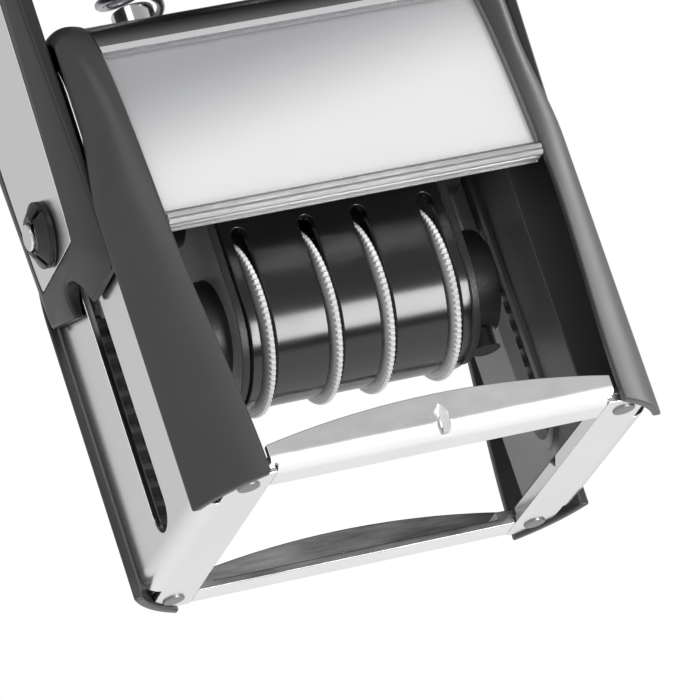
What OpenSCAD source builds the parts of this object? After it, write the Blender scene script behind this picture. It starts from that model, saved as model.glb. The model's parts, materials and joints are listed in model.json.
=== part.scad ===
// Self-inking date stamp: a steel frame, a pressing bow and a carriage that rolls over on toothed racks.
// X runs left to right, Y front to back, Z up. The origin is the middle of the base, on the paper.

/* [Frame] */
// Width over the outside of the two side plates
frame_w = 74.6; // [72:0.2:82]
// Thickness of the pressed steel
sheet_t = 1.2; // [0.8:0.1:1.6]
// Outside radius of the bend at the foot of a side plate
bend_r = 3; // [2:0.1:4]
// Width of the flange at the foot of a side plate
flange_w = 10; // [9:0.1:10.6]
// Depth of the flange at the foot of a rail
rail_flange_d = 6.9; // [6:0.1:8]
// Height of the steel base above the paper
base_z = 0.5; // [0.4:0.1:1]
// Height of the turned-up edge of a side flange
lip_h = 1; // [0.5:0.1:2]
// How far a rail lies behind the front of the trims' feet
rail_inset = 0.9; // [0.8:0.1:1.6]
// Outside radius of the bend at the foot of a rail
rail_bend_r = 2.5; // [1.6:0.1:3]
// How far a rail reaches past the mouth at each end
rail_over = 1; // [0:0.1:1.6]
// How far the tab at the end of a rail runs back over its flange
tab_lap = 3; // [2:0.1:5]
// Height of a rail at its ends
rail_end_h = 4.6; // [3.6:0.1:5.6]
// Height of a rail at its middle
rail_mid_h = 7.3; // [6.5:0.1:8.6]
// Width of the pinched notch in the middle of a rail and of a flange edge
notch_w = 3; // [1:0.1:4]
// Distance of a rivet from the inner edge of a side flange
rivet_in_x = 3.7; // [3:0.1:4.2]
// Distance of a rivet from the inner edge of a rail's flange
rivet_in_y = 1.7; // [1.7:0.05:2]
// Diameter of a rivet shank
rivet_d = 3; // [2:0.1:3.4]
// Diameter of a rivet head
rivet_head_d = 3.6; // [3.5:0.1:4.2]
// Thickness of a rivet head
rivet_head_h = 0.4; // [0.2:0.05:0.4]
// Width of the guide slot in a side plate
slot_w = 7.3; // [6.8:0.1:9]
// Lowest point of the guide slot
slot_low = 4.1; // [4:0.1:5.5]
// How far the upper part of a side plate lies inside the arch
plate_inset = 4.5; // [4.3:0.1:5.5]

/* [Covers] */
// Depth of the feet of the corner trims, front to back
foot_d = 59; // [57:0.2:64]
// Height of the top of the arch
arch_top = 82; // [81.8:0.1:82.2]
// Roundness of the outline from foot to top: higher is fuller
arch_power = 8; // [7.6:0.1:8.2]
// Width of a corner trim, from the edge of the covers to the side of the frame
trim_w = 6.1; // [5.6:0.1:7]
// Width of a corner trim at its foot
trim_foot_w = 8.3; // [7.3:0.1:9]
// Depth between the outer edges of the corner trims
trim_edge_d = 36.6; // [36:0.2:40]
// Thickness of a corner trim
trim_t = 1.5; // [1:0.1:1.8]
// How far the shoulder of a trim swells at the top of the arch
trim_crown = 1.6; // [0.5:0.1:2.5]
// How far the flank of a trim is hollowed at its foot
trim_hollow = 4.4; // [3:0.1:5]
// Height where the outer edge of a trim starts to draw in beside the arms
trim_turn_z = 48; // [44:0.5:50]
// Height over which that edge draws in
trim_turn_h = 18; // [14:0.5:18]
// How deep the outer edge of a trim lies under the outline at the top
trim_sink = 1.8; // [1.2:0.1:2.2]
// Height of the lower edge of the front window
window_low = 42.8; // [42:0.2:44]
// Thickness of the clear window
window_t = 1.6; // [1:0.1:1.6]
// Height of the clear bead along the lower edge of the window
bead_h = 2; // [1.4:0.1:3]
// Depth of that bead
bead_d = 4; // [3:0.1:5]
// Height of the seam between window and top cover
window_high = 74.2; // [73.8:0.2:75]
// Thickness of the card behind the window
card_t = 0.4; // [0.2:0.1:0.6]
// How deep the covers lie under the edges of the trims
cover_step = 0.2; // [0:0.05:0.5]
// Thickness of the top and rear covers
cover_t = 1.2; // [0.8:0.1:1.6]
// Height of the lower edge of the rear cover
rear_low = 53.4; // [53:0.2:58]

/* [Bow] */
// Thickness of an arm
arm_t = 3.4; // [2.5:0.1:5]
// Thickness of the thin edge all round an arm
arm_edge_t = 1.1; // [0.8:0.1:2]
// Gap between that edge and the trims on both sides of it
arm_side_gap = 0.5; // [0.4:0.1:1]
// Depth of the raised face of an arm at its lower end
arm_face_d = 20.8; // [20.4:0.2:24]
// How far an arm stands out past the front and back of the handle it closes
arm_over = 0.2; // [0:0.1:1]
// Height of the hip in which an arm widens into the handle
hip_h = 10; // [6:0.5:11]
// Radius of the upper corners of an arm
arm_corner_r = 9; // [5:0.5:12]
// Height where the lower end of an arm starts on the inside
arm_low = 41; // [40:0.2:44]
// Height of the slanted lower end of an arm
arm_slant = 8.5; // [5:0.1:9]
// How much higher the lower end of an arm is at its rear corner
arm_heel = 5; // [0:0.2:6]
// Width of the fork in the lower end of an arm
fork_w = 8.3; // [6:0.1:10]
// Depth of that fork
fork_h = 5.5; // [3:0.1:6]
// Depth of the polished inlay plate at its lower end
inlay_d = 18.8; // [16:0.2:20]
// Depth of the inlay plate near its upper end
inlay_top_d = 24.4; // [20:0.2:26]
// Thickness of the inlay plate
inlay_t = 0.8; // [0.5:0.1:1.2]
// Distance from the underside of the handle down to the upper end of the inlay plate
inlay_drop = 10; // [4:1:22]
// Height of the top of the handle above the paper
handle_top = 152; // [151:0.5:156]
// Height of the handle from its underside to its top
handle_h = 30; // [28:0.5:31]
// Depth of the handle
handle_d = 42; // [41:0.5:48]
// Height of the rounded back of the handle
handle_round_h = 20; // [16:0.5:22]
// Wall of the handle
handle_wall = 2.6; // [2:0.1:3.2]
// How far the top of the handle falls towards its ends
handle_fall = 3.6; // [0:0.1:5]
// How much higher the lower edges of the handle lie than its joints with the arms
rim_lift = 2.4; // [2.2:0.1:3]
// Distance of the soft grip from an arm
grip_end = 9.5; // [4:0.5:20]
// Thickness of the soft grip
grip_t = 1.2; // [0.8:0.1:2]
// How far the grip reaches down the front and back of the handle
grip_skirt = 2; // [0:0.2:6]
// Diameter of a handle screw
handle_screw_d = 3; // [2:0.1:4]
// Distance of the handle screws from the middle, front to back
lug_y = 8; // [5:0.5:10]
// Distance of the handle screws below the top of the handle
lug_drop = 14; // [13:0.5:18]
// Length of the lugs that take the handle screws
lug_len = 8; // [6:0.5:10]
// Width of a lug beside and below its screws
lug_rim = 3; // [2.5:0.1:4]
// Length of the pins that centre the springs under the handle
pin_len = 8; // [5:0.5:10]

/* [Roll-over gear] */
// Height of the flip axle above the paper, at rest
axle_z = 55.2; // [55:0.1:58]
// Diameter of the flip axle
axle_d = 6; // [5:0.1:6]
// Diameter of the axle's thinner tips
axle_tip_d = 4.4; // [3:0.1:4.8]
// Diameter of the cap on the tip of the axle
cap_d = 10.5; // [8:0.1:12]
// Length of that cap
cap_len = 2.4; // [1.5:0.1:3]
// How far the tip of the axle stands out of the cap
tip_out = 0.6; // [0:0.1:1]
// Distance from tooth to tooth on a rack
rack_pitch = 3.1416; // [3.1416:0.0001:3.1416]
// Teeth on a full turn of a sector
tooth_n = 27; // [27:1:27]
// Play between the teeth
backlash = 0.25; // [0.15:0.05:0.4]
// Thickness of a sector
sector_t = 3.2; // [2:0.1:3.6]
// Diameter of the hub of a sector
sector_hub_d = 12; // [9:0.5:14]

/* [Carriage] */
// Height of the printing face above the axle
print_h = 12.6; // [12:0.1:12.6]
// Gap between the text plate and the side flanges it passes
die_side_gap = 2.3; // [1.8:0.1:4]
// Depth of the text plate
die_d = 26.6; // [24:0.2:26.8]
// Thickness of the text plate
die_plate_t = 2; // [1.5:0.1:2.4]
// Thickness of the printing rubber
rubber_t = 1.6; // [1.2:0.1:2]
// How far the window for the date reaches past the outer setting wheels
date_over = 1.4; // [0.6:0.1:2.2]
// Depth of the window for the date
date_d = 8; // [7:0.2:10]
// Distance from the axle down to the setting wheels
wheel_drop = 21.5; // [21:0.1:22]
// Radius of the drum cover
drum_r = 12.6; // [12:0.1:13]
// Gap between the drum cover and the flip axle
drum_gap = 2; // [1:0.1:3]
// Wall of the drum cover
drum_wall = 1.8; // [1.2:0.1:2]
// Width of a slot in the drum cover
drum_slot_w = 2.4; // [2:0.1:3]
// Thickness of an end cheek of the carriage
cheek_t = 1.4; // [1.2:0.1:2]
// How far a cheek is set back behind the face of the drum
cheek_step = 0.4; // [0.2:0.1:1]
// Thickness of the deck under the text plate
deck_t = 1.5; // [1:0.1:1.6]
// Radius of the stepped boss on a cheek
boss_r = 8.5; // [6:0.1:10]
// Length of that boss
boss_len = 5.2; // [4:0.1:5.6]
// Gap between the boss and the rim of the slot in a liner
boss_gap = 2.1; // [1.4:0.1:3]
// Diameter of the peg that hangs under a boss
peg_d = 4.8; // [3:0.1:5]
// Distance of the peg's lower end from the axis of the setting wheels
peg_drop = 11.4; // [9:0.1:12.4]
// Wall of the boss round the flip axle
axle_boss_t = 3; // [2:0.1:4]

/* [Date wheels and bands] */
// Radius of a setting wheel
wheel_r = 14; // [13.4:0.1:14]
// Thickness of the rim of a setting wheel
wheel_t = 1.2; // [0.8:0.1:1.4]
// Teeth on the rim
wheel_teeth = 90; // [60:1:110]
// Depth of those teeth
wheel_tooth_h = 0.5; // [0.3:0.05:0.6]
// Radius of the hub that drives a band
hub_r = 7.4; // [6:0.1:7.4]
// Gap between the hubs of two neighbouring wheels
hub_gap = 1.2; // [1:0.1:2]
// Distance of a band from the middle of its wheel's rim
band_gap = 1; // [0.9:0.1:1.2]
// Thickness of a date band
band_t = 0.9; // [0.6:0.05:1]
// Radius of the nose that the bands run over
nose_r = 2; // [1.6:0.1:2.2]
// Distance of an outer setting wheel from the end of the drum
wheel_edge = 2.9; // [2.5:0.1:3.2]
// Place of an inner setting wheel, as a part of the outer wheel's distance from the middle
wheel_part = 0.282; // [0.27:0.002:0.3]
// Diameter of the axle of the setting wheels
wheel_axle_d = 3; // [2:0.1:4]

/* [Ink tray] */
// Gap between the tray and a liner
tray_side_gap = 2; // [2:0.1:4]
// Thickness of the felt
felt_t = 2.2; // [1.6:0.1:2.4]
// Thickness of the tray's roof
tray_roof = 1.2; // [0.8:0.1:1.4]
// Thickness of the tray's walls
tray_wall = 0.8; // [0.6:0.1:1]
// Length of the finger ribs on the tray's rear face
rib_len = 18; // [10:1:40]
// Thickness of the tray's runners
runner_t = 1; // [0.6:0.1:1.2]
// Gap between felt and printing face, at rest
ink_gap = 0.4; // [0.3:0.05:0.6]
// Height of the runner ledges above the printing face
ledge_rise = 1.2; // [1:0.1:1.4]
// Thickness of a runner ledge
ledge_t = 1.2; // [0.8:0.1:1.6]
// Gap between the tray and the window with its card
tray_front_gap = 0.6; // [0.4:0.05:0.8]

/* [Springs and bridge] */
// Distance between the two return springs
spring_pitch = 32; // [26:0.5:40]
// Mean diameter of a return spring
spring_d = 9.4; // [9:0.1:11]
// Diameter of the spring wire
wire_d = 1.3; // [1:0.05:1.5]
// Curls in a return spring
curls = 11; // [8:1:13]
// Height of the bridge between the side plates
bridge_z = 76.4; // [76.2:0.1:76.8]
// Depth of the bridge
bridge_d = 21; // [16:0.5:22]
// Height of a spring post
post_h = 12; // [8:0.5:14]
// Distance from the top of the handle down to the spring seats
seat_drop = 6; // [5.5:0.5:7.5]
// Wall of the inner guide liners
liner_t = 1.6; // [1:0.1:2]
// Room between the top of a liner's side walls and the outline of the covers
wall_room = 3.4; // [3.2:0.1:5]
// How much higher the slot in a liner starts than the slot in its side plate
slot_rise = 2; // [1:0.1:4]
// Width of the raised rim round the slot in a liner
rim_w = 1.6; // [1:0.1:2]
// Height of that rim
rim_h = 0.6; // [0.3:0.1:0.6]
// Height of the bosses for the bridge screws
screw_boss_h = 6.2; // [5.8:0.2:6.2]
// Distance of the bridge screws from the middle, front to back
screw_y = 6; // [4:0.5:7]
// Length of a bridge screw under the bridge
screw_len = 4.5; // [3.5:0.5:4.5]
// Diameter of a bridge screw
bridge_screw_d = 2.6; // [2:0.1:3]

/* [Clearances] */
// Gap between pieces that slide past each other
slide_gap = 0.3; // [0.2:0.05:0.4]
// Gap between fixed pieces that lie against each other
seat_gap = 0.1; // [0.05:0.05:0.2]
// Gap round a turning shaft, on the radius
shaft_gap = 0.05; // [0.02:0.01:0.09]

/* [Hidden] */
$fn = 64;

// Stations on the outline lie closer together toward the top by this power
station_power = 3;

// Steel frame
plate_out = frame_w / 2;
plate_in = plate_out - sheet_t;
mouth_x = plate_out - flange_w;
rail_y = foot_d / 2 - rail_inset;
mouth_y = rail_y - rail_flange_d;
rail_half = mouth_x + rail_over;
rivet_x = mouth_x + rivet_in_x;
rivet_y = mouth_y + rivet_in_y;
trim_edge_y = trim_edge_d / 2;
plate_y = trim_edge_y - seat_gap;
flange_top = base_z + sheet_t;
flange_y = rail_y - sheet_t - seat_gap;
tab_top = flange_top + sheet_t;
slot_mid = slot_low + slot_w / 2;
slot_high = axle_z + slot_w / 2;
far = 400;
// Pieces of one solid run into each other by this much
overlap = 0.1;

// Roll-over gear: one half turn of the sector rolls down the rack, over PI times this radius
tooth_m = rack_pitch / PI;
pitch_r = tooth_m * tooth_n / 2;
tooth_add = 0.9 * tooth_m;
tooth_ded = 1.22 * tooth_m;
tooth_tip = pitch_r + tooth_add;
tooth_root = pitch_r - tooth_ded;
press_angle = 20;
base_r = pitch_r * cos(press_angle);
tooth_step = 360 / tooth_n;
spare_teeth = 1;
teeth_used = ceil(tooth_n / 2);

// Guide liners close the space in which sectors and racks work
liner_in = mouth_x + 0.7;
liner_out = liner_in + liner_t;
liner_low = base_z + sheet_t + lip_h + 0.5;
liner_y = plate_y - 0.4;
liner_inset = cover_step + window_t + card_t + 2 * slide_gap;
liner_top = bridge_z - seat_gap;
liner_wall_z = min(liner_top, arch_top * (1 - pow(2 * (liner_y + wall_room) / foot_d, arch_power)));
sector_x0 = liner_out + (plate_in - liner_out - sector_t) / 2;
sector_x1 = sector_x0 + sector_t;

// Carriage
axle_r = axle_d / 2;
wheel_z = axle_z - wheel_drop;
print_z = axle_z + print_h;
rubber_z = print_z - rubber_t;
die_z = rubber_z - die_plate_t;
deck_z = die_z - deck_t;
boss_out = liner_in - rim_h - boss_gap;
cheek_out = boss_out - boss_len;
cheek_in = cheek_out - cheek_t;
drum_x = cheek_in - 2 * seat_gap;
cheek_r = drum_r - cheek_step;
drum_top = axle_z - axle_r - drum_gap;
die_x = mouth_x - die_side_gap;
wheel_out_x = drum_x - wheel_edge;
wheel_in_x = wheel_part * wheel_out_x;
date_x = wheel_out_x + date_over;
wheel_xs = [-wheel_out_x, -wheel_in_x, wheel_in_x, wheel_out_x];
band_side = [1, -1, 1, -1];
nose_z = print_z - band_t - nose_r;
hub_len = (wheel_out_x - wheel_in_x - hub_gap) / 2;
band_w = hub_len - band_gap;
band_in_r = hub_r + slide_gap;

// Ink tray
felt_z = print_z + ink_gap;
ledge_z = print_z + ledge_rise;
tray_x = liner_in - tray_side_gap;
tray_top = felt_z + felt_t + tray_roof;
tray_y = inset(station(tray_top), liner_inset)[0] - tray_front_gap;
felt_y = tray_y - tray_wall;
runner_z = ledge_z + ledge_t + seat_gap;
ledge_y = inset(station(ledge_z + ledge_t), liner_inset)[0];

// Bow
arm_in = plate_out + slide_gap;
arm_out = arm_in + arm_t;
cap_x0 = arm_out + 2 * seat_gap;
axle_end = cap_x0 + cap_len + tip_out;
handle_x = arm_in - seat_gap;
arm_half = trim_edge_y - arm_side_gap;
handle_low = handle_top - handle_h;
spring_top = handle_top - seat_drop;
inlay_top = handle_low - inlay_drop;
inlay_low = arm_low + arm_slant;

// Bridge and springs
bridge_top = bridge_z + sheet_t;
bridge_x = plate_in - seat_gap;
spring_r = spring_d / 2;
post_r = spring_r - wire_d / 2 - 0.6;
spring_x = spring_pitch / 2;
screw_x = (liner_out + plate_in) / 2;

function unit(v) = v / norm(v);
// Outline of the covers: half depth and height at a station, from 0 at the foot to 1 at the top
function outline(s) =
    [foot_d / 2 * pow(1 - s, station_power / arch_power), arch_top * (1 - pow(1 - s, station_power))];
function outward(s) =
    unit([arch_power * arch_top * pow(1 - s, station_power * (1 - 1 / arch_power)), foot_d / 2]);
function inset(s, depth) = outline(s) - depth * outward(s);
// Station of a height on the outline
function station(z) = 1 - pow(1 - z / arch_top, 1 / station_power);
function steps(a, b, n) = [for (i = [0:n]) a + (b - a) * i / n];
// Half an outline in Y and Z, with its mirror image
function both_sides(right) =
    concat(right, [for (i = [len(right) - 1:-1:0]) [-right[i][0], right[i][1]]]);
// Points at a depth under the outline between two heights, no deeper than a given half depth
function inside(depth, half, z0, z1) = [for (s = steps(station(z0), station(z1), 14))
    [min(half, inset(s, depth)[0]), min(z1, inset(s, depth)[1])]];

// A strip of cover between two stations and two depths under the outline
module cover_strip(s0, s1, depth0, depth1, n, half_w) {
    outer = [for (s = steps(s0, s1, n)) inset(s, depth0)];
    inner = [for (s = steps(s1, s0, n)) inset(s, depth1)];
    rotate([90, 0, 90])
        linear_extrude(2 * half_w, center = true)
            polygon(concat(outer, inner));
}

// A flat outline in Y and Z, given thickness along X
module along_x(x0, x1) {
    translate([x0, 0, 0])
        rotate([90, 0, 90])
            linear_extrude(x1 - x0)
                children();
}

// A flat outline in X and Z, given thickness along Y
module along_y(y0, y1) {
    translate([0, y1, 0])
        rotate([90, 0, 0])
            linear_extrude(y1 - y0)
                children();
}

module rod_x(r, x0, x1, y, z) {
    translate([x0, y, z])
        rotate([0, 90, 0])
            cylinder(r = r, h = x1 - x0);
}

module block(lo, hi) {
    translate(lo)
        cube(hi - lo);
}

module mirrored_left() {
    mirror([1, 0, 0])
        children();
}

// Bent section of the right side plate: wall, round bend, flange and turned-up edge
module plate_section() {
    difference() {
        union() {
            translate([mouth_x, base_z])
                square([plate_out - bend_r - mouth_x, sheet_t]);
            translate([mouth_x, base_z])
                square([sheet_t, sheet_t + lip_h]);
            translate([plate_in, base_z + bend_r])
                square([sheet_t, far]);
            intersection() {
                translate([plate_out - bend_r, base_z + bend_r])
                    circle(bend_r);
                translate([plate_out - bend_r, base_z])
                    square(bend_r);
            }
        }
        translate([plate_out - bend_r, base_z + bend_r])
            circle(bend_r - sheet_t);
    }
}

module plate_outline() {
    polygon(both_sides(concat([[plate_y, base_z]], inside(plate_inset, plate_y, slot_high / 2, bridge_z))));
}

module slot_outline(w, low, high) {
    translate([-w / 2, low])
        square([w, high - low]);
    translate([0, low])
        circle(w / 2);
    translate([0, high])
        circle(w / 2);
}

module lip_notch() {
    translate([mouth_x - 1, 0, flange_top + lip_h])
        rotate([45, 0, 0])
            translate([0, -notch_w / 3, -notch_w / 3])
                cube([sheet_t + 2, notch_w * 2 / 3, notch_w * 2 / 3]);
}

// Room for a corner trim beside the flanges
module corner_relief() {
    row = trim_row(station(tab_top));
    n = len(row);
    edge = [for (i = [n / 2:n - 1]) [row[i][0] - seat_gap, row[i][1] - seat_gap]];
    linear_extrude(2 * tab_top, center = true)
        polygon(concat(edge, [[edge[len(edge) - 1][0], far], [far, far], [far, edge[0][1]]]));
}

module side_plate() {
    color("gainsboro")
        difference() {
            intersection() {
                along_y(-flange_y, flange_y)
                    plate_section();
                union() {
                    along_x(0, far)
                        plate_outline();
                    block([0, -flange_y, 0], [plate_out - bend_r, flange_y, flange_top]);
                    block([0, -mouth_y + 1, 0], [mouth_x + 2 * sheet_t, mouth_y - 1, flange_top + lip_h]);
                }
            }
            along_x(plate_in - 1, plate_out + 1)
                slot_outline(slot_w, slot_mid, slot_high);
            for (y = [-1, 1])
                translate([rivet_x, y * rivet_y, 0])
                    cylinder(d = rivet_d + 2 * shaft_gap, h = tab_top);
            lip_notch();
            for (side = [0, 1])
                mirror([0, side, 0])
                    corner_relief();
        }
}

// Rail: flange, rounded lower edge and a wall with a bowed upper edge
module rail_section() {
    bend_y = rail_y - rail_bend_r;
    bend_z = base_z + rail_bend_r;
    difference() {
        union() {
            translate([mouth_y, base_z])
                square([bend_y - mouth_y, sheet_t]);
            translate([rail_y - sheet_t, bend_z])
                square([sheet_t, rail_mid_h]);
            intersection() {
                translate([bend_y, bend_z])
                    circle(rail_bend_r);
                translate([bend_y, base_z])
                    square(rail_bend_r);
            }
        }
        translate([bend_y, bend_z])
            circle(rail_bend_r - sheet_t);
    }
}

module rail_front_outline() {
    rise = rail_mid_h - rail_end_h;
    bow_r = (rail_half * rail_half + rise * rise) / (2 * rise);
    intersection() {
        translate([0, rail_mid_h - bow_r])
            circle(bow_r, $fn = 180);
        translate([-rail_half, flange_top])
            square([2 * rail_half, rail_mid_h]);
    }
    flange_half = mouth_x - seat_gap;
    translate([-flange_half, 0])
        square([2 * flange_half, flange_top + overlap]);
}

module rail_tab() {
    x0 = mouth_x - tab_lap;
    x1 = rivet_x + rivet_head_d;
    block([x0, mouth_y, flange_top], [x1, rail_y - sheet_t + overlap, tab_top]);
}

module rail_notch() {
    translate([0, rail_y + 0.3, 0])
        rotate([0, 0, 45])
            translate([-notch_w / 4, -notch_w / 4, base_z + 1])
                cube([notch_w / 2, notch_w / 2, rail_end_h - base_z - 1.6]);
}

module rail() {
    color("gainsboro")
        difference() {
            union() {
                intersection() {
                    along_x(-rail_half, rail_half)
                        rail_section();
                    along_y(mouth_y - 1, rail_y + 1)
                        rail_front_outline();
                }
                for (side = [0, 1])
                    mirror([side, 0, 0])
                        rail_tab();
            }
            for (x = [-1, 1])
                translate([x * rivet_x, rivet_y, 0])
                    cylinder(d = rivet_d + 2 * shaft_gap, h = tab_top + 1);
            rail_notch();
            for (side = [0, 1])
                mirror([side, 0, 0])
                    corner_relief();
        }
}

module frame_rivets() {
    color("gray")
        for (x = [-1, 1], y = [-1, 1])
            translate([x * rivet_x, y * rivet_y, base_z - rivet_head_h]) {
                cylinder(d = rivet_head_d, h = rivet_head_h);
                cylinder(d = rivet_d, h = rivet_head_h + 2 * sheet_t + rivet_head_h);
                translate([0, 0, rivet_head_h + 2 * sheet_t])
                    cylinder(d = rivet_head_d, h = rivet_head_h);
            }
}

// Corner trim: a thin shell that spans from the cover's edge to the side plate and follows the outline
trim_cover_x = plate_out - trim_w;
trim_side_x = plate_out + 2 * seat_gap + trim_t;
trim_arch_x = plate_out - seat_gap;
trim_stations = 36;
trim_sides = 7;
function ease(t) = t * t * (3 - 2 * t);
function clamp01(t) = max(0, min(1, t));
// Outer edge of the trim: upright beside the plate, then an arch of its own
function edge_point(s) = [min(trim_edge_y, inset(s, trim_sink)[0]), inset(s, trim_sink)[1]];
function edge_turn(s) = ease(clamp01((outline(s)[1] - trim_turn_z) / trim_turn_h));
function edge_x(s) = trim_side_x + (trim_arch_x - trim_side_x) * edge_turn(s);
function crown(s) = -trim_hollow + (trim_hollow + trim_crown) * ease(clamp01(s / 0.6));
function bend(a, b, c, t) = (1 - t) * (1 - t) * a + 2 * t * (1 - t) * b + t * t * c;
function point3(x, yz) = [x, yz[0], yz[1]];
// Inner edge of the trim: it runs beside the covers and spreads inward at its foot
function foot_spread(s) = (trim_foot_w - trim_w) * (1 - ease(clamp01(outline(s)[1] / window_low)));
function cover_edge(s) = trim_cover_x - foot_spread(s);
function trim_row(s) =
    let (knee_x = cover_edge(s) + 0.7 * (edge_x(s) - cover_edge(s)))
    let (a = point3(cover_edge(s), outline(s)))
    let (b = point3(knee_x, outline(s) + crown(s) * outward(s)))
    let (c = point3(edge_x(s), edge_point(s)))
    let (a_in = point3(cover_edge(s), inset(s, trim_t)))
    let (b_in = point3(knee_x - 0.6 * trim_t, outline(s) + (crown(s) - trim_t) * outward(s)))
    let (c_in = point3(edge_x(s) - trim_t, edge_point(s)))
    concat(
        [for (i = [0:trim_sides]) bend(a, b, c, i / trim_sides)],
        [for (i = [trim_sides:-1:0]) bend(a_in, b_in, c_in, i / trim_sides)]
    );

module corner_trim() {
    rows = [for (i = [0:trim_stations]) trim_row(i / trim_stations)];
    n = len(rows[0]);
    points = [for (row = rows) for (p = row) [p[0], max(p[1], seat_gap), max(p[2], 0)]];
    last = trim_stations * n;
    skin = [for (r = [0:trim_stations - 1], k = [0:n - 1])
        let (a = r * n + k, b = r * n + (k + 1) % n)
        each [[a, b, b + n], [a, b + n, a + n]]];
    half = n / 2;
    foot = [for (k = [0:half - 2]) each [[k, n - 1 - k, k + 1], [k + 1, n - 1 - k, n - 2 - k]]];
    top = [for (f = foot) [f[0] + last, f[2] + last, f[1] + last]];
    color("dimgray")
        polyhedron(points, concat(skin, foot, top), convexity = 6);
}

// Guide liner: inner wall with a slot for the axle, two side walls and a ledge for the ink tray
module guide_liner() {
    boss_z = bridge_z - screw_boss_h;
    slot_start = slot_mid + slot_rise;
    color([0.16, 0.16, 0.17])
        difference() {
            union() {
                along_x(liner_in, liner_out)
                    liner_outline();
                for (side = [0, 1])
                    mirror([0, side, 0])
                        liner_wall();
                along_x(liner_in - rim_h, liner_in + overlap)
                    slot_outline(slot_w + 2 * rim_w, slot_start, slot_high);
                block([tray_x + slide_gap, -ledge_y, ledge_z],
                    [liner_in + overlap, ledge_y, ledge_z + ledge_t]);
                for (y = [-screw_y, screw_y])
                    translate([screw_x, y, boss_z])
                        cylinder(r = bridge_screw_d, h = screw_boss_h - seat_gap);
                block([liner_out - overlap, -screw_y, boss_z], [screw_x, screw_y, bridge_z - seat_gap]);
            }
            along_x(liner_in - 2, liner_out + 1)
                slot_outline(slot_w - slide_gap, slot_start, slot_high);
            for (y = [-screw_y, screw_y])
                translate([screw_x, y, boss_z + 1])
                    cylinder(d = bridge_screw_d + 2 * shaft_gap, h = screw_boss_h);
        }
}

// The inner wall stays inside the window, the card and the covers
module liner_outline() {
    arch = inside(liner_inset, liner_y, liner_wall_z / 2, liner_top);
    polygon(both_sides(concat([[liner_y, liner_low]], arch)));
}

module liner_wall() {
    block([liner_out - overlap, liner_y - liner_t, liner_low],
        [plate_in - seat_gap, liner_y, liner_wall_z]);
}

// Teeth of the half gear; a tooth points to the rear at rest
function deg(r) = r * 180 / PI;
function involute(r) = let (a = acos(min(1, base_r / r))) deg(tan(a)) - a;
half_pitch_tooth = deg((PI * tooth_m / 2 - backlash) / (2 * pitch_r));
function half_tooth(r) = half_pitch_tooth + involute(pitch_r) - involute(max(r, base_r));
flank_r = concat([tooth_root], steps(base_r, tooth_tip, 4));
function polar(r, a) = [r * cos(a), r * sin(a)];
function tooth_points(k) = concat(
    [for (r = flank_r) polar(r, -k * tooth_step + half_tooth(r))],
    [for (i = [len(flank_r) - 1:-1:0]) polar(flank_r[i], -k * tooth_step - half_tooth(flank_r[i]))]
);

module sector_outline() {
    points = [for (k = [0:tooth_n - 1]) each tooth_points(k)];
    first = tooth_step * (spare_teeth + 0.5);
    last = 360 - tooth_step * (teeth_used + 0.5);
    translate([0, axle_z])
        difference() {
            polygon(points);
            difference() {
                polygon([[0, 0], polar(far, first), polar(2 * far, 90), polar(far, last)]);
                circle(d = sector_hub_d);
            }
        }
}

module flip_sector() {
    color("whitesmoke")
        difference() {
            along_x(sector_x0, sector_x1)
                sector_outline();
            rod_x(axle_r + shaft_gap, sector_x0 - 1, sector_x1 + 1, 0, axle_z);
        }
}

// Rack: a tooth gap lies level with the axle at rest
module rack_outline() {
    tip = PI * tooth_m / 4 - tooth_add * tan(press_angle);
    root = PI * tooth_m / 4 + tooth_ded * tan(press_angle);
    first = axle_z - (teeth_used + spare_teeth - 0.5) * rack_pitch;
    count = teeth_used + 2 * spare_teeth;
    y_tip = pitch_r - tooth_add;
    y_root = pitch_r + tooth_ded;
    teeth = [for (i = [0:count - 1])
        let (z = first + i * rack_pitch)
        each [[y_root, z - root], [y_tip, z - tip], [y_tip, z + tip], [y_root, z + root]]];
    low = first - rack_pitch / 2;
    high = first + (count - 0.5) * rack_pitch;
    y_back = liner_y - liner_t - seat_gap;
    polygon(concat([[y_root, low]], teeth, [[y_root, high], [y_back, high], [y_back, low]]));
}

module flip_rack() {
    color("lightgray")
        along_x(sector_x0 - slide_gap, plate_in - seat_gap)
            rack_outline();
}

// Bridge: a steel cross piece that ties the two sides together and carries the springs
module top_bridge() {
    color("silver")
        difference() {
            block([-bridge_x, -bridge_d / 2, bridge_z], [bridge_x, bridge_d / 2, bridge_top]);
            for (x = [-screw_x, screw_x], y = [-screw_y, screw_y])
                translate([x, y, bridge_z - 1])
                    cylinder(d = bridge_screw_d + 2 * shaft_gap, h = sheet_t + 2);
            for (x = [-spring_x, spring_x])
                translate([x, 0, bridge_z - 1])
                    cylinder(r = post_r - 1 + shaft_gap, h = sheet_t + 2);
        }
}

module bridge_screws() {
    head_h = bridge_screw_d / 2;
    color("darkgray")
        for (x = [-screw_x, screw_x], y = [-screw_y, screw_y])
            translate([x, y, bridge_z - screw_len]) {
                cylinder(d = bridge_screw_d, h = screw_len + sheet_t);
                translate([0, 0, screw_len + sheet_t])
                    cylinder(d = 1.6 * bridge_screw_d, h = head_h);
            }
}

module spring_posts() {
    color("silver")
        for (x = [-spring_x, spring_x])
            translate([x, 0, bridge_z]) {
                cylinder(r = post_r - 1, h = sheet_t + 1);
                translate([0, 0, sheet_t])
                    cylinder(r = post_r, h = post_h);
            }
}

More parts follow.
